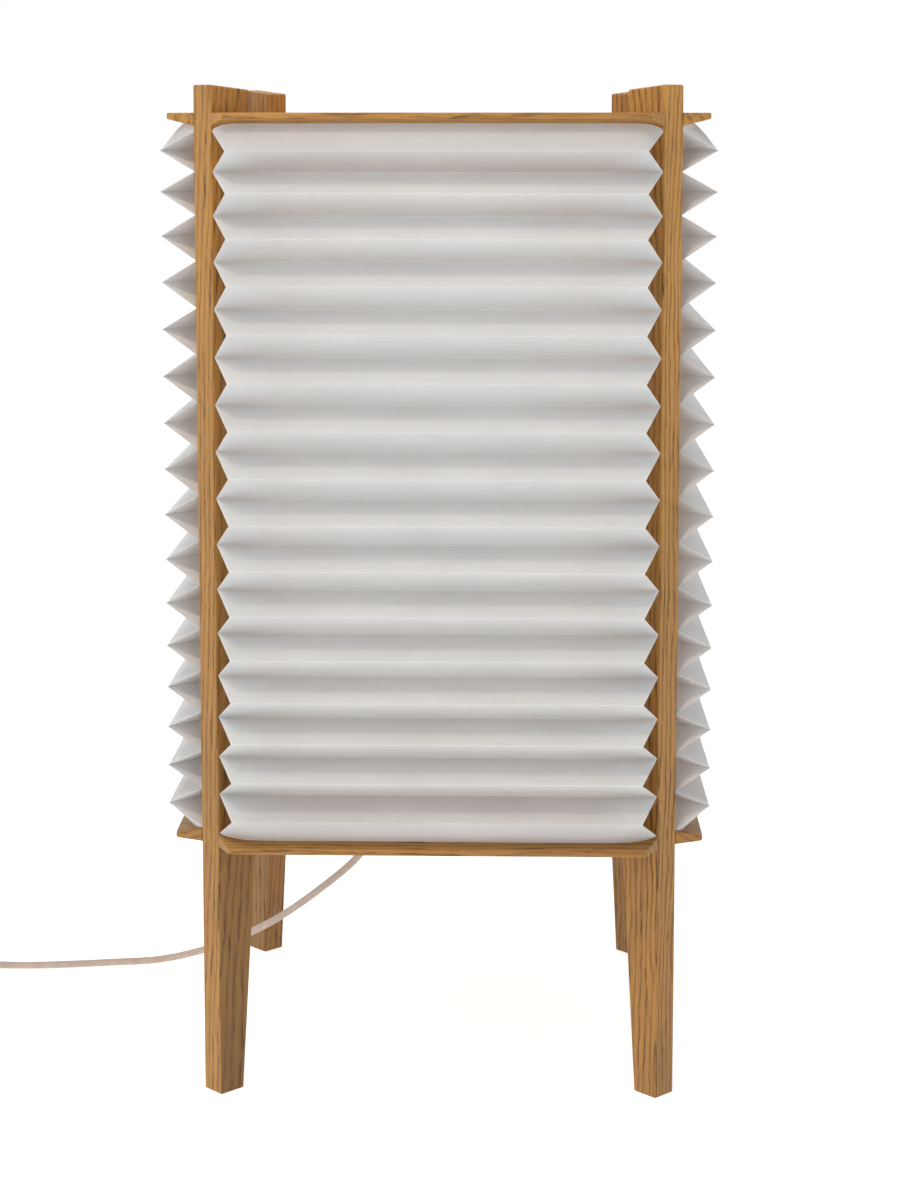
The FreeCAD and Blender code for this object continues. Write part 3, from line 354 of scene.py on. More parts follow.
def cord_cover():
    """The cord's satin sheath, greyish beige, faintly mottled along its length."""
    shader = Shader("cord_sheath", roughness=0.38)
    spot = shader.spot()
    mottle = shader.noise(spot, scale=0.16, detail=3)
    fine = shader.noise(spot, scale=1.1, detail=3, roughness=0.6)
    light, dark, speck = paint(210, 189, 174), paint(196, 177, 163), paint(190, 170, 152)
    colour = shader.mix(shader.span(mottle, (0.35, 0.65)), light, dark)
    colour = shader.mix(shader.span(fine, (0.5, 0.8), (0, 0.25)), colour, speck)
    shader.give("Base Color", colour)
    shader.bump(fine, distance=0.05, strength=0.5)
    return shader.material


# ---------------------------------------------------------------- pieces


def dress(material, *pieces):
    """Gives pieces or CAD nodes one material."""
    for piece in pieces:
        thing = NODES[piece] if isinstance(piece, str) else piece
        thing.data.materials.clear()
        thing.data.materials.append(material)


def add_piece(name, mesh, sharp_angle, material, node):
    """A finished piece that stands for a CAD node. Edges past the sharp angle stay crisp."""
    data = bpy.data.meshes.new(name)
    mesh.to_mesh(data)
    mesh.free()
    data.shade_smooth()
    data.set_sharp_from_angle(angle=math.radians(sharp_angle))
    piece = bpy.data.objects.new(name, data)
    bpy.context.scene.collection.objects.link(piece)
    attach(piece, "lamp")
    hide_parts(node)
    dress(material, piece)


# ---------------------------------------------------------------- cords

CORD_DIAMETER = 4.8 * MM
CORD_LIFT = 2.4 * MM
SWITCH_CORD = 6.5 * MM
PLUG_AXIS = 6.85 * MM
COIL_X = -465 * MM
COIL_Y = 38 * MM
COIL_OUTER = 38.05 * MM
COIL_PITCH = 5.3 * MM
COIL_LIFT = CORD_LIFT + COIL_PITCH
COIL_START = COIL_X + CORD_DIAMETER
LOWER_STEPS = (0, 0, 1, 1, 2, 2, 3, 3)  # pitches inwards from the outer turn
UPPER_STEPS = (4, 2, 2, 1, 1, 0)
HALF_TURN_POINTS = 8

MAINS_ROUTE = [
    (-0.0460, 0.0240, 0.1310),
    (-0.0460, 0.0240, 0.1150),
    (-0.0570, 0.0295, 0.0955),
    (-0.0815, 0.0445, 0.0710),
    (-0.1100, 0.0610, 0.0455),
    (-0.1380, 0.0765, 0.0260),
    (-0.1680, 0.0885, 0.0110),
    (-0.1990, 0.0925, CORD_LIFT),
    (-0.2280, 0.0880, CORD_LIFT),
    (-0.2590, 0.0825, CORD_LIFT),
    (-0.2900, 0.0792, CORD_LIFT),
    (-0.3150, 0.0782, 0.0032),
    (-0.3280, 0.0775, SWITCH_CORD),
    (-0.3410, 0.0775, SWITCH_CORD),
]
LEAD_ROUTE = [
    (-0.4270, 0.0775, SWITCH_CORD),
    (-0.4360, 0.0775, SWITCH_CORD),
    (COIL_START + 0.009, COIL_Y + COIL_OUTER, CORD_LIFT),
    (COIL_START, COIL_Y + COIL_OUTER, CORD_LIFT),
]
TAIL_ROUTE = [
    (COIL_START, COIL_Y - COIL_OUTER, COIL_LIFT),
    (COIL_START + 0.009, COIL_Y - COIL_OUTER, COIL_LIFT),
    (-0.4390, COIL_Y - COIL_OUTER, PLUG_AXIS),
    (-0.4300, COIL_Y - COIL_OUTER, PLUG_AXIS),
]


def coil_route():
    """The put-away coil's points: half turns inwards on the floor, then outwards on top."""
    layers = [(step, CORD_LIFT) for step in LOWER_STEPS]
    layers += [(step, COIL_LIFT) for step in UPPER_STEPS]
    ends = []
    for number, (step, height) in enumerate(layers):
        side = 1 if number % 2 == 0 else -1
        offset = COIL_OUTER - step * COIL_PITCH
        ends.append(Vector((COIL_X, COIL_Y + side * offset, height)))
    route = []
    for number, (start, end) in enumerate(zip(ends, ends[1:])):
        middle = (start + end) / 2
        bulge = Vector(((end - start).length / 2 * (-1 if number % 2 == 0 else 1), 0, 0))
        for step in range(HALF_TURN_POINTS):
            angle = math.pi * step / HALF_TURN_POINTS
            place = middle + (start - middle) * math.cos(angle) + bulge * math.sin(angle)
            route.append(tuple(place))
    route.append(tuple(ends[-1]))
    return route


def add_cord(name, route):
    """A round cord along a smooth curve. Its control points carry its radius."""
    curve = bpy.data.curves.new(name, "CURVE")
    curve.dimensions = "3D"
    spline = curve.splines.new("NURBS")
    spline.points.add(len(route) - 1)
    for control, place in zip(spline.points, route):
        control.co = (*place, 1)
        control.radius = CORD_DIAMETER / 2
    spline.order_u = 3
    spline.use_endpoint_u = True
    spline.resolution_u = 10
    curve.bevel_depth = 1.0
    curve.bevel_resolution = 5
    curve.use_fill_caps = True
    cord = bpy.data.objects.new(name, curve)
    bpy.context.scene.collection.objects.link(cord)
    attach(cord, "lamp")
    return cord


def add_cords():
    """The cord to the switch, and the rest of it to the plug."""
    sheath = cord_cover()
    switch_pieces = [name for name in sorted(NODES) if name.startswith("switch_")]
    switch_pieces[switch_pieces.index("switch_cord_sleeves")] = "switch_sleeves_ribbed"
    mains = add_cord("cord_to_switch", MAINS_ROUTE)
    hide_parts("mains_cord")
    lead = add_cord("cord_to_plug", LEAD_ROUTE + coil_route() + TAIL_ROUTE)
    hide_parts("cord_lead", "cord_coil", "cord_tail")
    dress(sheath, mains, lead, "inner_cord")


# ---------------------------------------------------------------- pleated paper

PAPER_TOP = 573.2 * MM
PAPER_LOW = 161.4 * MM
PLEATS = 16
TALLEST_PLEAT = 4
TALLEST_RISE = 27.7  # the pleats' heights only count against one another
TOP_SQUEEZE = 0.30
FOOT_SQUEEZE = 0.048
LAST_PULL = 1.5
RIDGE_SHARE = 0.475
RIDGE_PLANE = 162 * MM
RIDGE_HALF = 119.4 * MM
FLAP_LENGTH = 31 * MM
FLAP_START = 0.6 * MM
FOLD_RADIUS = 0.40 * MM
# how far the painted crease highlight reaches in from a wall's ends
CREASE_HIGHLIGHT_WIDE = 0.8 * MM
LEG_REACH = 191.5 * MM
LEG_HALF = 8 * MM
LEG_ROUND = 1.2 * MM
LEG_GAP = 0.05 * MM
BOARD_HALF = 157.5 * MM
BEVEL_WIDE = 23 * MM
BEVEL_DEEP = 5.5 * MM
TOP_BOARD_LOW = 575 * MM
BOTTOM_BOARD_HIGH = 162 * MM
EDGE_BOW = 8 * MM
EDGE_GAP = 0.4 * MM
BOW_REACH = {"top": 13 * MM, "bottom": 26 * MM}
WALL_SHARES = (0.18, 0.40, 0.62, 0.84)
WALL_COLUMNS = 30
WAVES_ALONG = 9  # per metre of the pleat
WAVE_SHIFTS = (2.7, 5.3)  # from pleat to pleat, and from sheet to sheet
QUICK_WAVES = 3.1
QUICK_SHIFT = Vector((0, 0, 9))
BELLY_SHIFT = Vector((4, 0, 0))
LIFT_SLOW, LIFT_QUICK = 0.45 * MM, 0.12 * MM
SINK_EVEN, SINK_SLOW = 0.20 * MM, 0.18 * MM
BELLY_EVEN, BELLY_SLOW = 0.30 * MM, 0.35 * MM
PAPER_SHARP = 50
PAPER_MERGE = 0.002 * MM


def pleat_heights():
    """The heights of the valley folds, from the top: tallest pleats above the middle."""
    rises = []
    for number in range(PLEATS):
        squeeze = TOP_SQUEEZE if number < TALLEST_PLEAT else FOOT_SQUEEZE
        rises.append(TALLEST_RISE - squeeze * (number - TALLEST_PLEAT) ** 2)
    rises[-1] += LAST_PULL
    scale = (PAPER_TOP - PAPER_LOW) / sum(rises)
    heights = [PAPER_TOP]
    for rise in rises:
        heights.append(heights[-1] - rise * scale)
    return heights


def fold_ends():
    """Where a ridge, a valley and a reverse-folded flap end, seen from above."""
    ridge_end = Vector((RIDGE_HALF, RIDGE_PLANE))
    across = (LEG_REACH - LEG_HALF - LEG_ROUND) * ROOT_HALF - LEG_GAP
    back = (LEG_REACH + LEG_HALF - LEG_ROUND) * ROOT_HALF
    valley_end = Vector((across, back))
    crease = (valley_end - ridge_end).normalized()
    straight_on = Vector((FLAP_LENGTH, 0))
    flap_end = ridge_end + crease * (2 * straight_on.dot(crease)) - straight_on
    return ridge_end, valley_end, flap_end


RIDGE_END, VALLEY_END, FLAP_END = fold_ends()
PLEAT_DEPTH = RIDGE_END.y - VALLEY_END.y


def bevel_height(outwards, board):
    """The height of a board's bevel at a distance from the lamp's axis."""
    depth = BEVEL_DEEP / BEVEL_WIDE * (outwards - BOARD_HALF + BEVEL_WIDE)
    return BOTTOM_BOARD_HIGH - depth if board == "bottom" else TOP_BOARD_LOW + depth


def bow_window(distance, reach):
    """0 at the leg and 1 past the reach, along a quarter of an ellipse."""
    left = max(0.0, 1 - distance / reach)
    return math.sqrt(1 - left * left)


def bow_edge(point, bow, fold, share, valley_height, board):
    """Bows a long edge of the sheet out from its fold, along the bevel of its board."""
    gap = EDGE_GAP * (1 if board == "bottom" else -1)
    rim = bevel_height(fold + EDGE_BOW * bow, board) + gap
    point.y += EDGE_BOW * bow * (1 - share)
    point.z += (rim - valley_height) * bow * (1 - share)
    limit = bevel_height(point.y, board) + gap / 2
    point.z = max(point.z, limit) if board == "bottom" else min(point.z, limit)


def unevenness(across, share, pleat, sheet):
    """How far the paper rises and sinks at a place on a pleat, from its even form."""
    place = Vector((across * WAVES_ALONG, pleat * WAVE_SHIFTS[0], sheet * WAVE_SHIFTS[1]))
    slow = noise.noise(place)
    quick = noise.noise(place * QUICK_WAVES + QUICK_SHIFT)
    lift = LIFT_SLOW * slow + LIFT_QUICK * quick
    belly = BELLY_EVEN + BELLY_SLOW * noise.noise(place + BELLY_SHIFT)
    sink = SINK_EVEN + SINK_SLOW * slow + math.sin(math.pi * share) * belly
    return lift * share, sink * (0.25 + 0.75 * share)


def fold_rounding(angle, half_rise):
    """Where an angle on the fold's small arc lies: its share of the wall, and how far back."""
    half_angle = math.atan2(half_rise, PLEAT_DEPTH)
    share = FOLD_RADIUS * math.sin(angle) / half_rise
    apex = FOLD_RADIUS / math.sin(half_angle)
    return share, apex - FOLD_RADIUS * math.cos(angle) - share * PLEAT_DEPTH


def wall_rows(valley_height, ridge_height):
    """The rows of a wall from its valley to its ridge: share, rounding and the mark of the painted
    crease highlight.
    """
    half_rise = abs(ridge_height - valley_height)
    straight = math.pi / 2 - math.atan2(half_rise, PLEAT_DEPTH)
    arc = []
    # a painted crease highlight across the fold's small arc, strongest at the fold
    for step, mark in ((0.0, 1.0), (0.5, 0.7), (1.0, 0.0)):
        arc.append((*fold_rounding(straight * step, half_rise), mark))
    rows = [(share, -back, mark) for share, back, mark in arc]
    rows += [(share, 0.0, 0.0) for share in WALL_SHARES]
    rows += [(1 - share, back, mark) for share, back, mark in arc[::-1]]
    return rows


def wall_row(row, valley_height, ridge_height, pleat, sheet, board):
    """One row of points across a pleat's wall, from one hidden flap to the other.

    The row's share is 0 at the valley and 1 at the ridge. Board names the board along
    which a long edge of the sheet bows here, or is None. Each point comes with its marks:
    how much painted highlight its crease gets, and whether it lies on a flap.
    """
    share, rounding, crease_highlight = row
    crease = VALLEY_END.lerp(RIDGE_END, share)
    hidden = VALLEY_END.lerp(FLAP_END, share)
    height = valley_height + (ridge_height - valley_height) * share
    points = []
    for column in range(WALL_COLUMNS + 1):
        along = 0.5 - 0.5 * math.cos(math.pi * column / WALL_COLUMNS)
        window = math.sin(math.pi * along) ** 0.5
        across = crease.x * (2 * along - 1)
        lift, sink = unevenness(across, share, pleat, sheet)
        fold = rounding * min(1.0, window * 4)
        point = Vector((across, crease.y - sink * window - fold, height + lift * window))
        inwards = crease.x - abs(across)
        if board is not None:
            bow = bow_window(inwards, BOW_REACH[board])
            bow_edge(point, bow, crease.y, share, valley_height, board)
        # painted crease highlight also along the wall's ends
        mark = max(crease_highlight, 1 - inwards / CREASE_HIGHLIGHT_WIDE)
        points.append((point, (mark, 0.0)))
    flaps = []
    for side, (end, _) in ((-1, points[0]), (1, points[-1])):
        back = Vector((hidden.x * side, hidden.y, height))
        turned = [end.lerp(back, FLAP_START / FLAP_LENGTH), end.lerp(back, 0.5), back]
        flaps.append([(point, (0.0, 1.0)) for point in turned])
    return flaps[0][::-1] + points + flaps[1]


def sheet_rows(sheet):
    """All rows of a sheet, from its upper edge down to its lower one."""
    valleys = pleat_heights()
    rows = []
    for pleat, (upper, lower) in enumerate(zip(valleys, valleys[1:])):
        ridge = upper + (lower - upper) * RIDGE_SHARE
        above = "top" if pleat == 0 else None
        below = "bottom" if pleat == PLEATS - 1 else None
        for row in wall_rows(upper, ridge):
            rows.append(wall_row(row, upper, ridge, pleat, sheet, above))
        # the ridge row is there already, and the next pleat brings the valley row
        for row in wall_rows(lower, ridge)[::-1][1 : None if below else -1]:
            rows.append(wall_row(row, lower, ridge, pleat, sheet, below))
    return rows


def add_panel(side, heading, sheet, material):
    """One folded sheet with 16 pleats, each closed at both ends by an inside reverse fold."""
    mesh = bmesh.new()
    layers = [mesh.verts.layers.float.new(mark) for mark in PAPER_MARKS]
    grid = []
    for row in sheet_rows(sheet):
        grid.append([mesh.verts.new(point) for point, _ in row])
        for vertex, (_, marks) in zip(grid[-1], row):
            for layer, mark in zip(layers, marks):
                vertex[layer] = mark
    for upper, lower in zip(grid, grid[1:]):
        for column in range(len(upper) - 1):
            after = column + 1
            mesh.faces.new((upper[column], lower[column], lower[after], upper[after]))
    bmesh.ops.remove_doubles(mesh, verts=mesh.verts, dist=PAPER_MERGE)
    cosine, sine = math.cos(math.radians(heading)), math.sin(math.radians(heading))
    for vertex in mesh.verts:
        x, y, z = vertex.co
        vertex.co = (x * cosine - y * sine, x * sine + y * cosine, z)
    bmesh.ops.recalc_face_normals(mesh, faces=mesh.faces)
    total = sum((face.normal * face.calc_area() for face in mesh.faces), Vector())
    if total.dot(Vector((-sine, cosine, 0))) < 0:
        bmesh.ops.reverse_faces(mesh, faces=mesh.faces)
    name, node = f"pleated_paper_{side}", f"shade_panel_{side}"
    add_piece(name, mesh, PAPER_SHARP, material, node)


def add_shade():
    """The four sheets of the shade, each with an unevenness of its own."""
    material = paper()
    sides = (("front", 180), ("right", 270), ("rear", 0), ("left", 90))
    for sheet, (side, heading) in enumerate(sides):
        add_panel(side, heading, sheet, material)


# ---------------------------------------------------------------- wood

# each leg's tone pair paints shade at its foot and light at its top, and its broad sides' pair
# paints shade or light onto its broad sides
LEGS = {
    "front_left": {
        "heading": 225,
        "pith": (45, 150),
        "lean": (0.045, 0.004),
        "ring_width": 3.6,
        "tone_and_shade": (0.82, 0.92),
        "figure": 0.60,
        "broad_side_shading": (0.54, 1.16),
    },
    "front_right": {
        "heading": 315,
        "pith": (90, 120),
        "lean": (0.004, 0.006),
        "ring_width": 2.7,
        "tone_and_shade": (0.71, 1.22),
        "figure": 0.80,
        "broad_side_shading": (1.04, 0.84),
    },
    "rear_right": {
        "heading": 45,
        "pith": (90, 95),
        "lean": (0.012, 0.006),
        "ring_width": 3.2,
        "tone_and_shade": (0.60, 0.90),
        "figure": 0.70,
        "broad_side_shading": (0.95, 0.95),
    },
    "rear_left": {
        "heading": 135,
        "pith": (60, 130),
        "lean": (0.010, 0.006),
        "ring_width": 3.0,
        "tone_and_shade": (0.64, 1.24),
        "figure": 0.60,
        "broad_side_shading": (0.84, 0.60),
    },
}
BOARDS = {
    "top_board": {"pith": (-640, 40), "lean": (0.010, 0.012), "tone_and_shade": (1.0, 1.0)},
    "bottom_board": {"pith": (-230, -60), "lean": (0.012, 0.008), "tone_and_shade": (0.78, 0.78)},
}
BOARD_RINGS = 3.6
ALONG_BOARD = (0, -math.pi / 2, 0)
DOWELS = {"pith": (40, 40), "lean": (0, 0), "ring_width": 2.0, "tone_and_shade": (1.15, 1.15)}


def dress_wood():
    """Each leg and board is sawn from its own stretch of oak."""
    seed = 1
    for place, grain in LEGS.items():
        along_leg = (0, 0, -math.radians(grain["heading"]))
        dress(oak(f"oak_leg_{place}", seed, along_leg, **grain), f"leg_{place}")
        seed += 1
    for board, grain in BOARDS.items():
        wood = oak(f"oak_{board}", seed, ALONG_BOARD, ring_width=BOARD_RINGS, **grain)
        dress(wood, board)
        seed += 1
    dress(oak("beech_dowels", seed, (0, 0, 0), **DOWELS), "board_dowels")


# ---------------------------------------------------------------- holder, bulb, switch and plug

SWITCH_CENTRE = (-384 * MM, 77.5 * MM)
SWITCH_HALF = 31 * MM
SWITCH_SLEEVE = {"foot": 5.0, "tip": 3.4, "length": 12.0, "collars": 3}
PLUG_FRONT = -375 * MM
PLUG_REAR = -408 * MM
PLUG_SIDE = COIL_Y - COIL_OUTER
PLUG_SLEEVE = {"foot": 5.0, "tip": 3.3, "length": 22.0, "collars": 5}
PLUG_PLACES = (0.0, 0.25, 0.7, 1.4, 2.4, *(3.5 + 29.0 * step / 26 for step in range(27)), 33.0)
PLUG_WIDE = ((0, 17.65), (8, 17.65), (31, 7.6), (33, 7.2))
PLUG_HIGH = ((0, 6.85), (12, 6.85), (31, 5.6), (33, 5.2))
PLUG_CORNER = 5.4
PLUG_FRONT_ROUND = 2.4
PLUG_TAIL = 31.0
CORNER_STEPS = 10
HOLDER_FLOOR = 162 * MM
HOLDER_PARTING = 26.0
GRIP_RIBS = {"low": HOLDER_PARTING + 8.6, "high": HOLDER_PARTING + 26.4, "number": 32, "deep": 0.9}
CAP_THREAD = {"low": 6.5, "high": 24.0, "pitch": 3.6, "deep": 0.8}
FITTING_SHARP = 34
FITTING_MERGE = 0.0005 * MM
ARRIS_ANGLE = 28


def collar_profile(foot, tip, length, collars):
    """A tapered cord sleeve with moulded collars: thick rings with grooves between them."""
    groove = ((0.0, 0.0), (0.10, 0.55), (0.42, 0.55), (0.52, 0.0))
    points = [(foot, 0.0)]
    pitch = length / (collars + 0.5)
    for number in range(collars):
        start = pitch * number + 0.15 * pitch
        for share, sunk in groove:
            height = start + (0.5 + share) * pitch
            points.append((foot + (tip - foot) * height / length - sunk, height))
    return points + [(tip, length - 0.4), (tip - 0.35, length)]


def holder_profile():
    """The holder's sleeve, a closed outline: spigot, collar, ribbed grip and rounded rim."""
    bore, spigot, collar, grip = 15.6, 17.9, 20.5, 19.3
    outline = [(bore, -8), (spigot, -8), (spigot, 0)]
    outline += [(collar, 0), (collar, 4.6), (20.3, 5.2), (19.5, 6.6), (grip, 7.0), (grip, 8.2)]
    outline += [(grip, 8.6), (grip, 26.4), (grip, 26.8), (grip, 28.8)]
    outline += [(19.0, 29.5), (18.3, 30), (16.1, 30), (bore, 29.5)]
    return [(radius, HOLDER_PARTING + height) for radius, height in outline]


def bulb_cap_profile():
    """The bulb's cap: contact, insulating cone, threaded shell and rim."""
    shell = 13.2
    points = [(0, 0.0), (3.0, 0.0), (3.5, 0.4), (5.0, 2.0), (12.0, 5.0), (shell, 6.5)]
    points += [(shell, 6.5 + 0.3 * step) for step in range(1, 59)]
    return points + [(13.1, 24.4), (12.6, 26.0), (0, 26.0)]


def join_rings(mesh, rings):
    """Faces between each ring of points and the next."""
    for lower, upper in zip(rings, rings[1:]):
        for step in range(len(lower)):
            after = (step + 1) % len(lower)
            mesh.faces.new((lower[step], lower[after], upper[after], upper[step]))


def add_turned(mesh, profile, place, axis="Z", ribs=None, thread=None, steps=96, hollow=False):
    """A turned shape from (radius, height) points in millimetres.

    Ribs and a thread are cut into it between two heights. A hollow shape's profile is a
    closed loop.
    """
    rings = []
    for radius, height in profile:
        ring = []
        for step in range(steps):
            angle = 2 * math.pi * step / steps
            reach = radius
            if ribs and ribs["low"] <= height <= ribs["high"]:
                reach -= ribs["deep"] * (0.5 - 0.5 * math.cos(ribs["number"] * angle)) ** 2
            if thread and thread["low"] <= height <= thread["high"]:
                phase = (height - thread["low"]) / thread["pitch"] - angle / (2 * math.pi)
                reach -= thread["deep"] * (0.5 - 0.5 * math.cos(2 * math.pi * phase))
            local = (reach * math.cos(angle), reach * math.sin(angle), height)
            if axis == "X":
                local = (local[2], local[1], local[0])
            elif axis == "-X":
                local = (-local[2], local[1], local[0])
            ring.append(mesh.verts.new(Vector(place) + Vector(local) * MM))
        rings.append(ring)
    join_rings(mesh, rings + rings[:1] if hollow else rings)
    if not hollow:
        for ring, (radius, _) in ((rings[0], profile[0]), (rings[-1], profile[-1])):
            if radius > 0:
                mesh.faces.new(ring)
    bmesh.ops.remove_doubles(mesh, verts=mesh.verts, dist=FITTING_MERGE)


def rounded_section(half_wide, half_high, corner):
    """The points of a rectangle with round corners, the same number for any size."""
    corner = min(corner, half_wide, half_high)
    points = []
    for quarter, (side, up) in enumerate(((1, 1), (-1, 1), (-1, -1), (1, -1))):
        for step in range(CORNER_STEPS + 1):
            angle = math.pi / 2 * (quarter + step / CORNER_STEPS)
            across = side * (half_wide - corner) + corner * math.cos(angle)
            height = up * (half_high - corner) + corner * math.sin(angle)
            points.append((across, height))
    return points


def eased(value, stops):
    """A smooth run through (place, height) stops."""
    for (start, low), (end, high) in zip(stops, stops[1:]):
        if value <= end:
            share = (value - start) / (end - start)
            return low + (high - low) * share * share * (3 - 2 * share)
    return stops[-1][1]


def plug_section(place):
    """The plug's section at a distance behind its front, whose arris is round."""
    inset = max(0.0, place - PLUG_TAIL) ** 2 * 0.25
    if place < PLUG_FRONT_ROUND:
        short = PLUG_FRONT_ROUND - place
        inset += PLUG_FRONT_ROUND - math.sqrt(PLUG_FRONT_ROUND**2 - short**2)
    return rounded_section(
        eased(place, PLUG_WIDE) - inset, eased(place, PLUG_HIGH) - inset, PLUG_CORNER
    )


def add_plug_body(mesh):
    """The plug's moulded body, which narrows towards its cord in a smooth sweep."""
    rings = []
    for place in PLUG_PLACES:
        back = PLUG_FRONT - place * MM
        ring = [(back, PLUG_SIDE + y * MM, PLUG_AXIS + z * MM) for y, z in plug_section(place)]
        rings.append([mesh.verts.new(point) for point in ring])
    join_rings(mesh, rings)
    mesh.faces.new(rings[0])
    mesh.faces.new(rings[-1])
    bmesh.ops.remove_doubles(mesh, verts=mesh.verts, dist=FITTING_MERGE)


def add_fitting(name, mesh, material, node):
    bmesh.ops.recalc_face_normals(mesh, faces=mesh.faces)
    add_piece(name, mesh, FITTING_SHARP, material, node)


def add_cord_fittings(material):
    """The ribbed sleeves at switch and plug, and the plug's smooth body."""
    mesh = bmesh.new()
    across, back = SWITCH_CENTRE
    for side, axis in ((1, "X"), (-1, "-X")):
        place = (across + side * SWITCH_HALF, back, SWITCH_CORD)
        add_turned(mesh, collar_profile(**SWITCH_SLEEVE), place, axis)
    add_fitting("switch_sleeves_ribbed", mesh, material, "switch_cord_sleeves")
    mesh = bmesh.new()
    add_turned(mesh, collar_profile(**PLUG_SLEEVE), (PLUG_REAR, PLUG_SIDE, PLUG_AXIS), "-X")
    add_fitting("plug_sleeve_ribbed", mesh, material, "plug_cord_sleeve")
    mesh = bmesh.new()
    add_plug_body(mesh)
    add_fitting("plug_body_smooth", mesh, material, "plug_body")


def add_holder_sleeve(material):
    """The holder's sleeve with the ribs that a hand grips."""
    mesh = bmesh.new()
    place = (0, 0, HOLDER_FLOOR)
    add_turned(mesh, holder_profile(), place, ribs=GRIP_RIBS, steps=256, hollow=True)
    add_fitting("holder_sleeve_ribbed", mesh, material, "holder_sleeve")


def add_bulb_cap(material):
    """The bulb's cap with its rolled thread."""
    mesh = bmesh.new()
    foot = (0, 0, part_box("bulb_cap")[0][2])
    add_turned(mesh, bulb_cap_profile(), foot, thread=CAP_THREAD)
    add_fitting("bulb_threaded_cap", mesh, material, "bulb_cap")


def soften(node, width, segments=3):
    """Rounds a moulded piece's arrises, by a width in millimetres."""
    bevel = NODES[node].modifiers.new("rounding", "BEVEL")
    bevel.width = width * MM
    bevel.segments = segments
    bevel.limit_method = "ANGLE"
    bevel.angle_limit = math.radians(ARRIS_ANGLE)
    bevel.harden_normals = True


def dress_fittings():
    """Holder, bulb, switch and plug: their materials, finished pieces and soft arrises."""
    porcelain = moulded("holder_plastic", paint(228, 225, 217), 0.45)
    fitting = moulded("cord_fittings", paint(196, 183, 167), 0.40)
    rocker = moulded("rocker_plastic", paint(206, 197, 184), 0.30)
    insulation = moulded("wire_insulation", paint(112, 72, 44), 0.35)
    brass = metal("brass", paint(214, 178, 104), 0.30)
    steel = metal("zinc_steel", paint(190, 190, 192), 0.34)
    nickel = metal("nickel_pins", paint(205, 202, 196), 0.20, brushed=(0.2, 1, 1))
    aluminium = metal("bulb_aluminium", paint(214, 214, 216), 0.28)
    dress(porcelain, "holder_base", "holder_insulator")
    dress(fitting, "cord_bushing", "switch_lower_housing", "switch_upper_housing")
    dress(rocker, "switch_rocker")
    dress(brass, "holder_screw_shell", "holder_centre_contact")
    dress(brass, "holder_terminals", "switch_contacts")
    dress(steel, "holder_screws", "switch_screws", "switch_pivot_pin")
    dress(nickel, "plug_pins")
    dress(opal_glass(), "bulb_globe")
    dress(insulation, "inner_leads")
    add_cord_fittings(fitting)
    add_holder_sleeve(porcelain)
    add_bulb_cap(aluminium)
    soften("switch_upper_housing", 0.8)
    soften("switch_lower_housing", 0.5)
    soften("switch_rocker", 0.5)
    soften("holder_base", 0.4, segments=2)


# ---------------------------------------------------------------- light, floor and background

AMBIENT = 0.70
AMBIENT_LEAN = (-0.40, -0.14, -0.12)  # what is added towards +X, +Y and +Z
AMBIENT_COLOUR = (0.86, 0.94, 1.0, 1.0)
WHITE = (1, 1, 1, 1)
FLOOR_HALF = 12.0
FLOOR_DROP = 0.05 * MM
FLOOR_COLOUR = paint(242, 241, 240)
FLOOR_GLOW = 0.40
FLOOR_SEEN = 0.72
KEY_POWER = 100.0
KEY_COLOUR = (1.0, 0.76, 0.54)
KEY_PLACE = (-0.75, -1.45, 3.20)
KEY_RADIUS = 0.19
KEY_TARGET = (0.0, -0.15, 0.42)
KEY_WIDTH = math.radians(26)


def seen_directly(tree):
    """1 where the camera sees a surface itself, in a reflection or through glass."""
    path = tree.node("LightPath").outputs
    seen = path["Is Camera Ray"]
    for name in ("Is Glossy Ray", "Is Transmission Ray"):
        seen = tree.math("MAXIMUM", seen, path[name])
    return seen


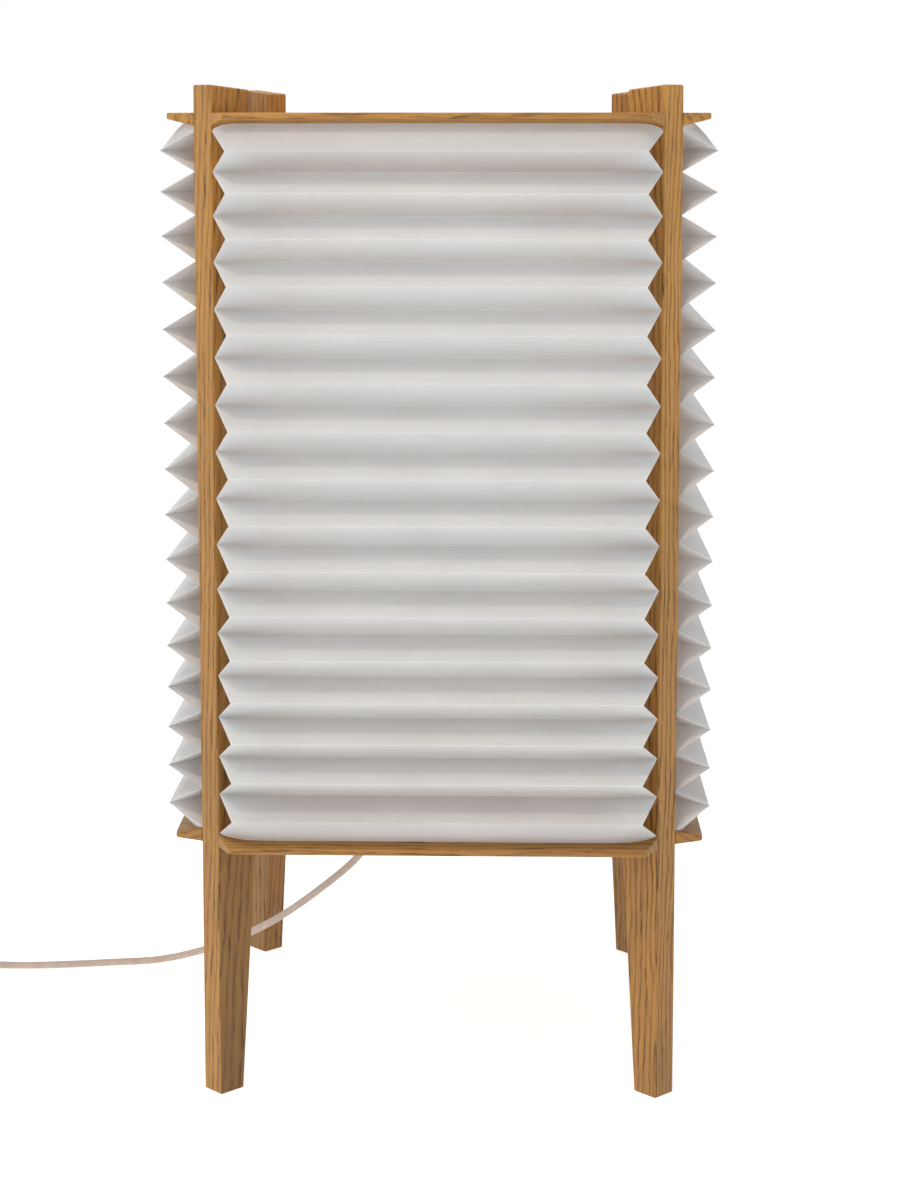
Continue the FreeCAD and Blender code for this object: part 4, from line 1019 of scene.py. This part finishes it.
def add_world():
    """Soft, slightly cool light from all round, strongest from the left, and plain white
    where the camera looks past the lamp."""
    world = bpy.data.worlds.new("studio")
    bpy.context.scene.world = world
    world.use_nodes = True
    tree = Tree(world.node_tree)
    ambient = tree.tree.nodes["Background"]
    lean = tree.dot(tree.node("TexCoord").outputs["Generated"], AMBIENT_LEAN)
    tree.feed(ambient.inputs["Color"], AMBIENT_COLOUR)
    tree.feed(ambient.inputs["Strength"], tree.math("ADD", lean, AMBIENT))
    white = tree.node("Background", WHITE, 1.0)
    both = tree.node("MixShader", seen_directly(tree), ambient.outputs[0], white.outputs[0])
    tree.feed(tree.tree.nodes["World Output"].inputs["Surface"], both.outputs[0])


def add_floor():
    """A pale floor with a faint glow that lights the pleats from below. The camera sees
    it brighter, so it is white away from the lamp's shadow."""
    data = bpy.data.meshes.new("floor")
    corners = [
        (across * FLOOR_HALF, back * FLOOR_HALF, -FLOOR_DROP)
        for across, back in ((-1, -1), (1, -1), (1, 1), (-1, 1))
    ]
    data.from_pydata(corners, [], [(0, 1, 2, 3)])
    floor = bpy.data.objects.new("floor", data)
    bpy.context.scene.collection.objects.link(floor)
    shader = Shader("pale_floor", base_color=FLOOR_COLOUR, roughness=0.9, emission_color=WHITE)
    shader.give("Specular IOR Level", 0.0)
    seen = shader.math("MULTIPLY", seen_directly(shader), FLOOR_SEEN)
    shader.give("Emission Strength", shader.math("MAXIMUM", seen, FLOOR_GLOW))
    data.materials.append(shader.material)


def add_key_light():
    """A warm spotlight from high up on the front left."""
    light = bpy.data.lights.new("key", "SPOT")
    light.shadow_soft_size = KEY_RADIUS
    light.spot_size = KEY_WIDTH
    light.spot_blend = 1.0
    light.energy = KEY_POWER
    light.color = KEY_COLOUR
    lamp = bpy.data.objects.new("key", light)
    lamp.location = KEY_PLACE
    direction = Vector(KEY_TARGET) - Vector(KEY_PLACE)
    lamp.rotation_euler = direction.to_track_quat("-Z", "Y").to_euler()
    bpy.context.scene.collection.objects.link(lamp)


# ---------------------------------------------------------------- the whole scene

add_camera()
add_shade()
dress_wood()
dress_fittings()
add_cords()
add_world()
add_floor()
add_key_light()
bpy.context.scene.view_settings.view_transform = "Standard"
bpy.context.scene.cycles.diffuse_bounces = 8
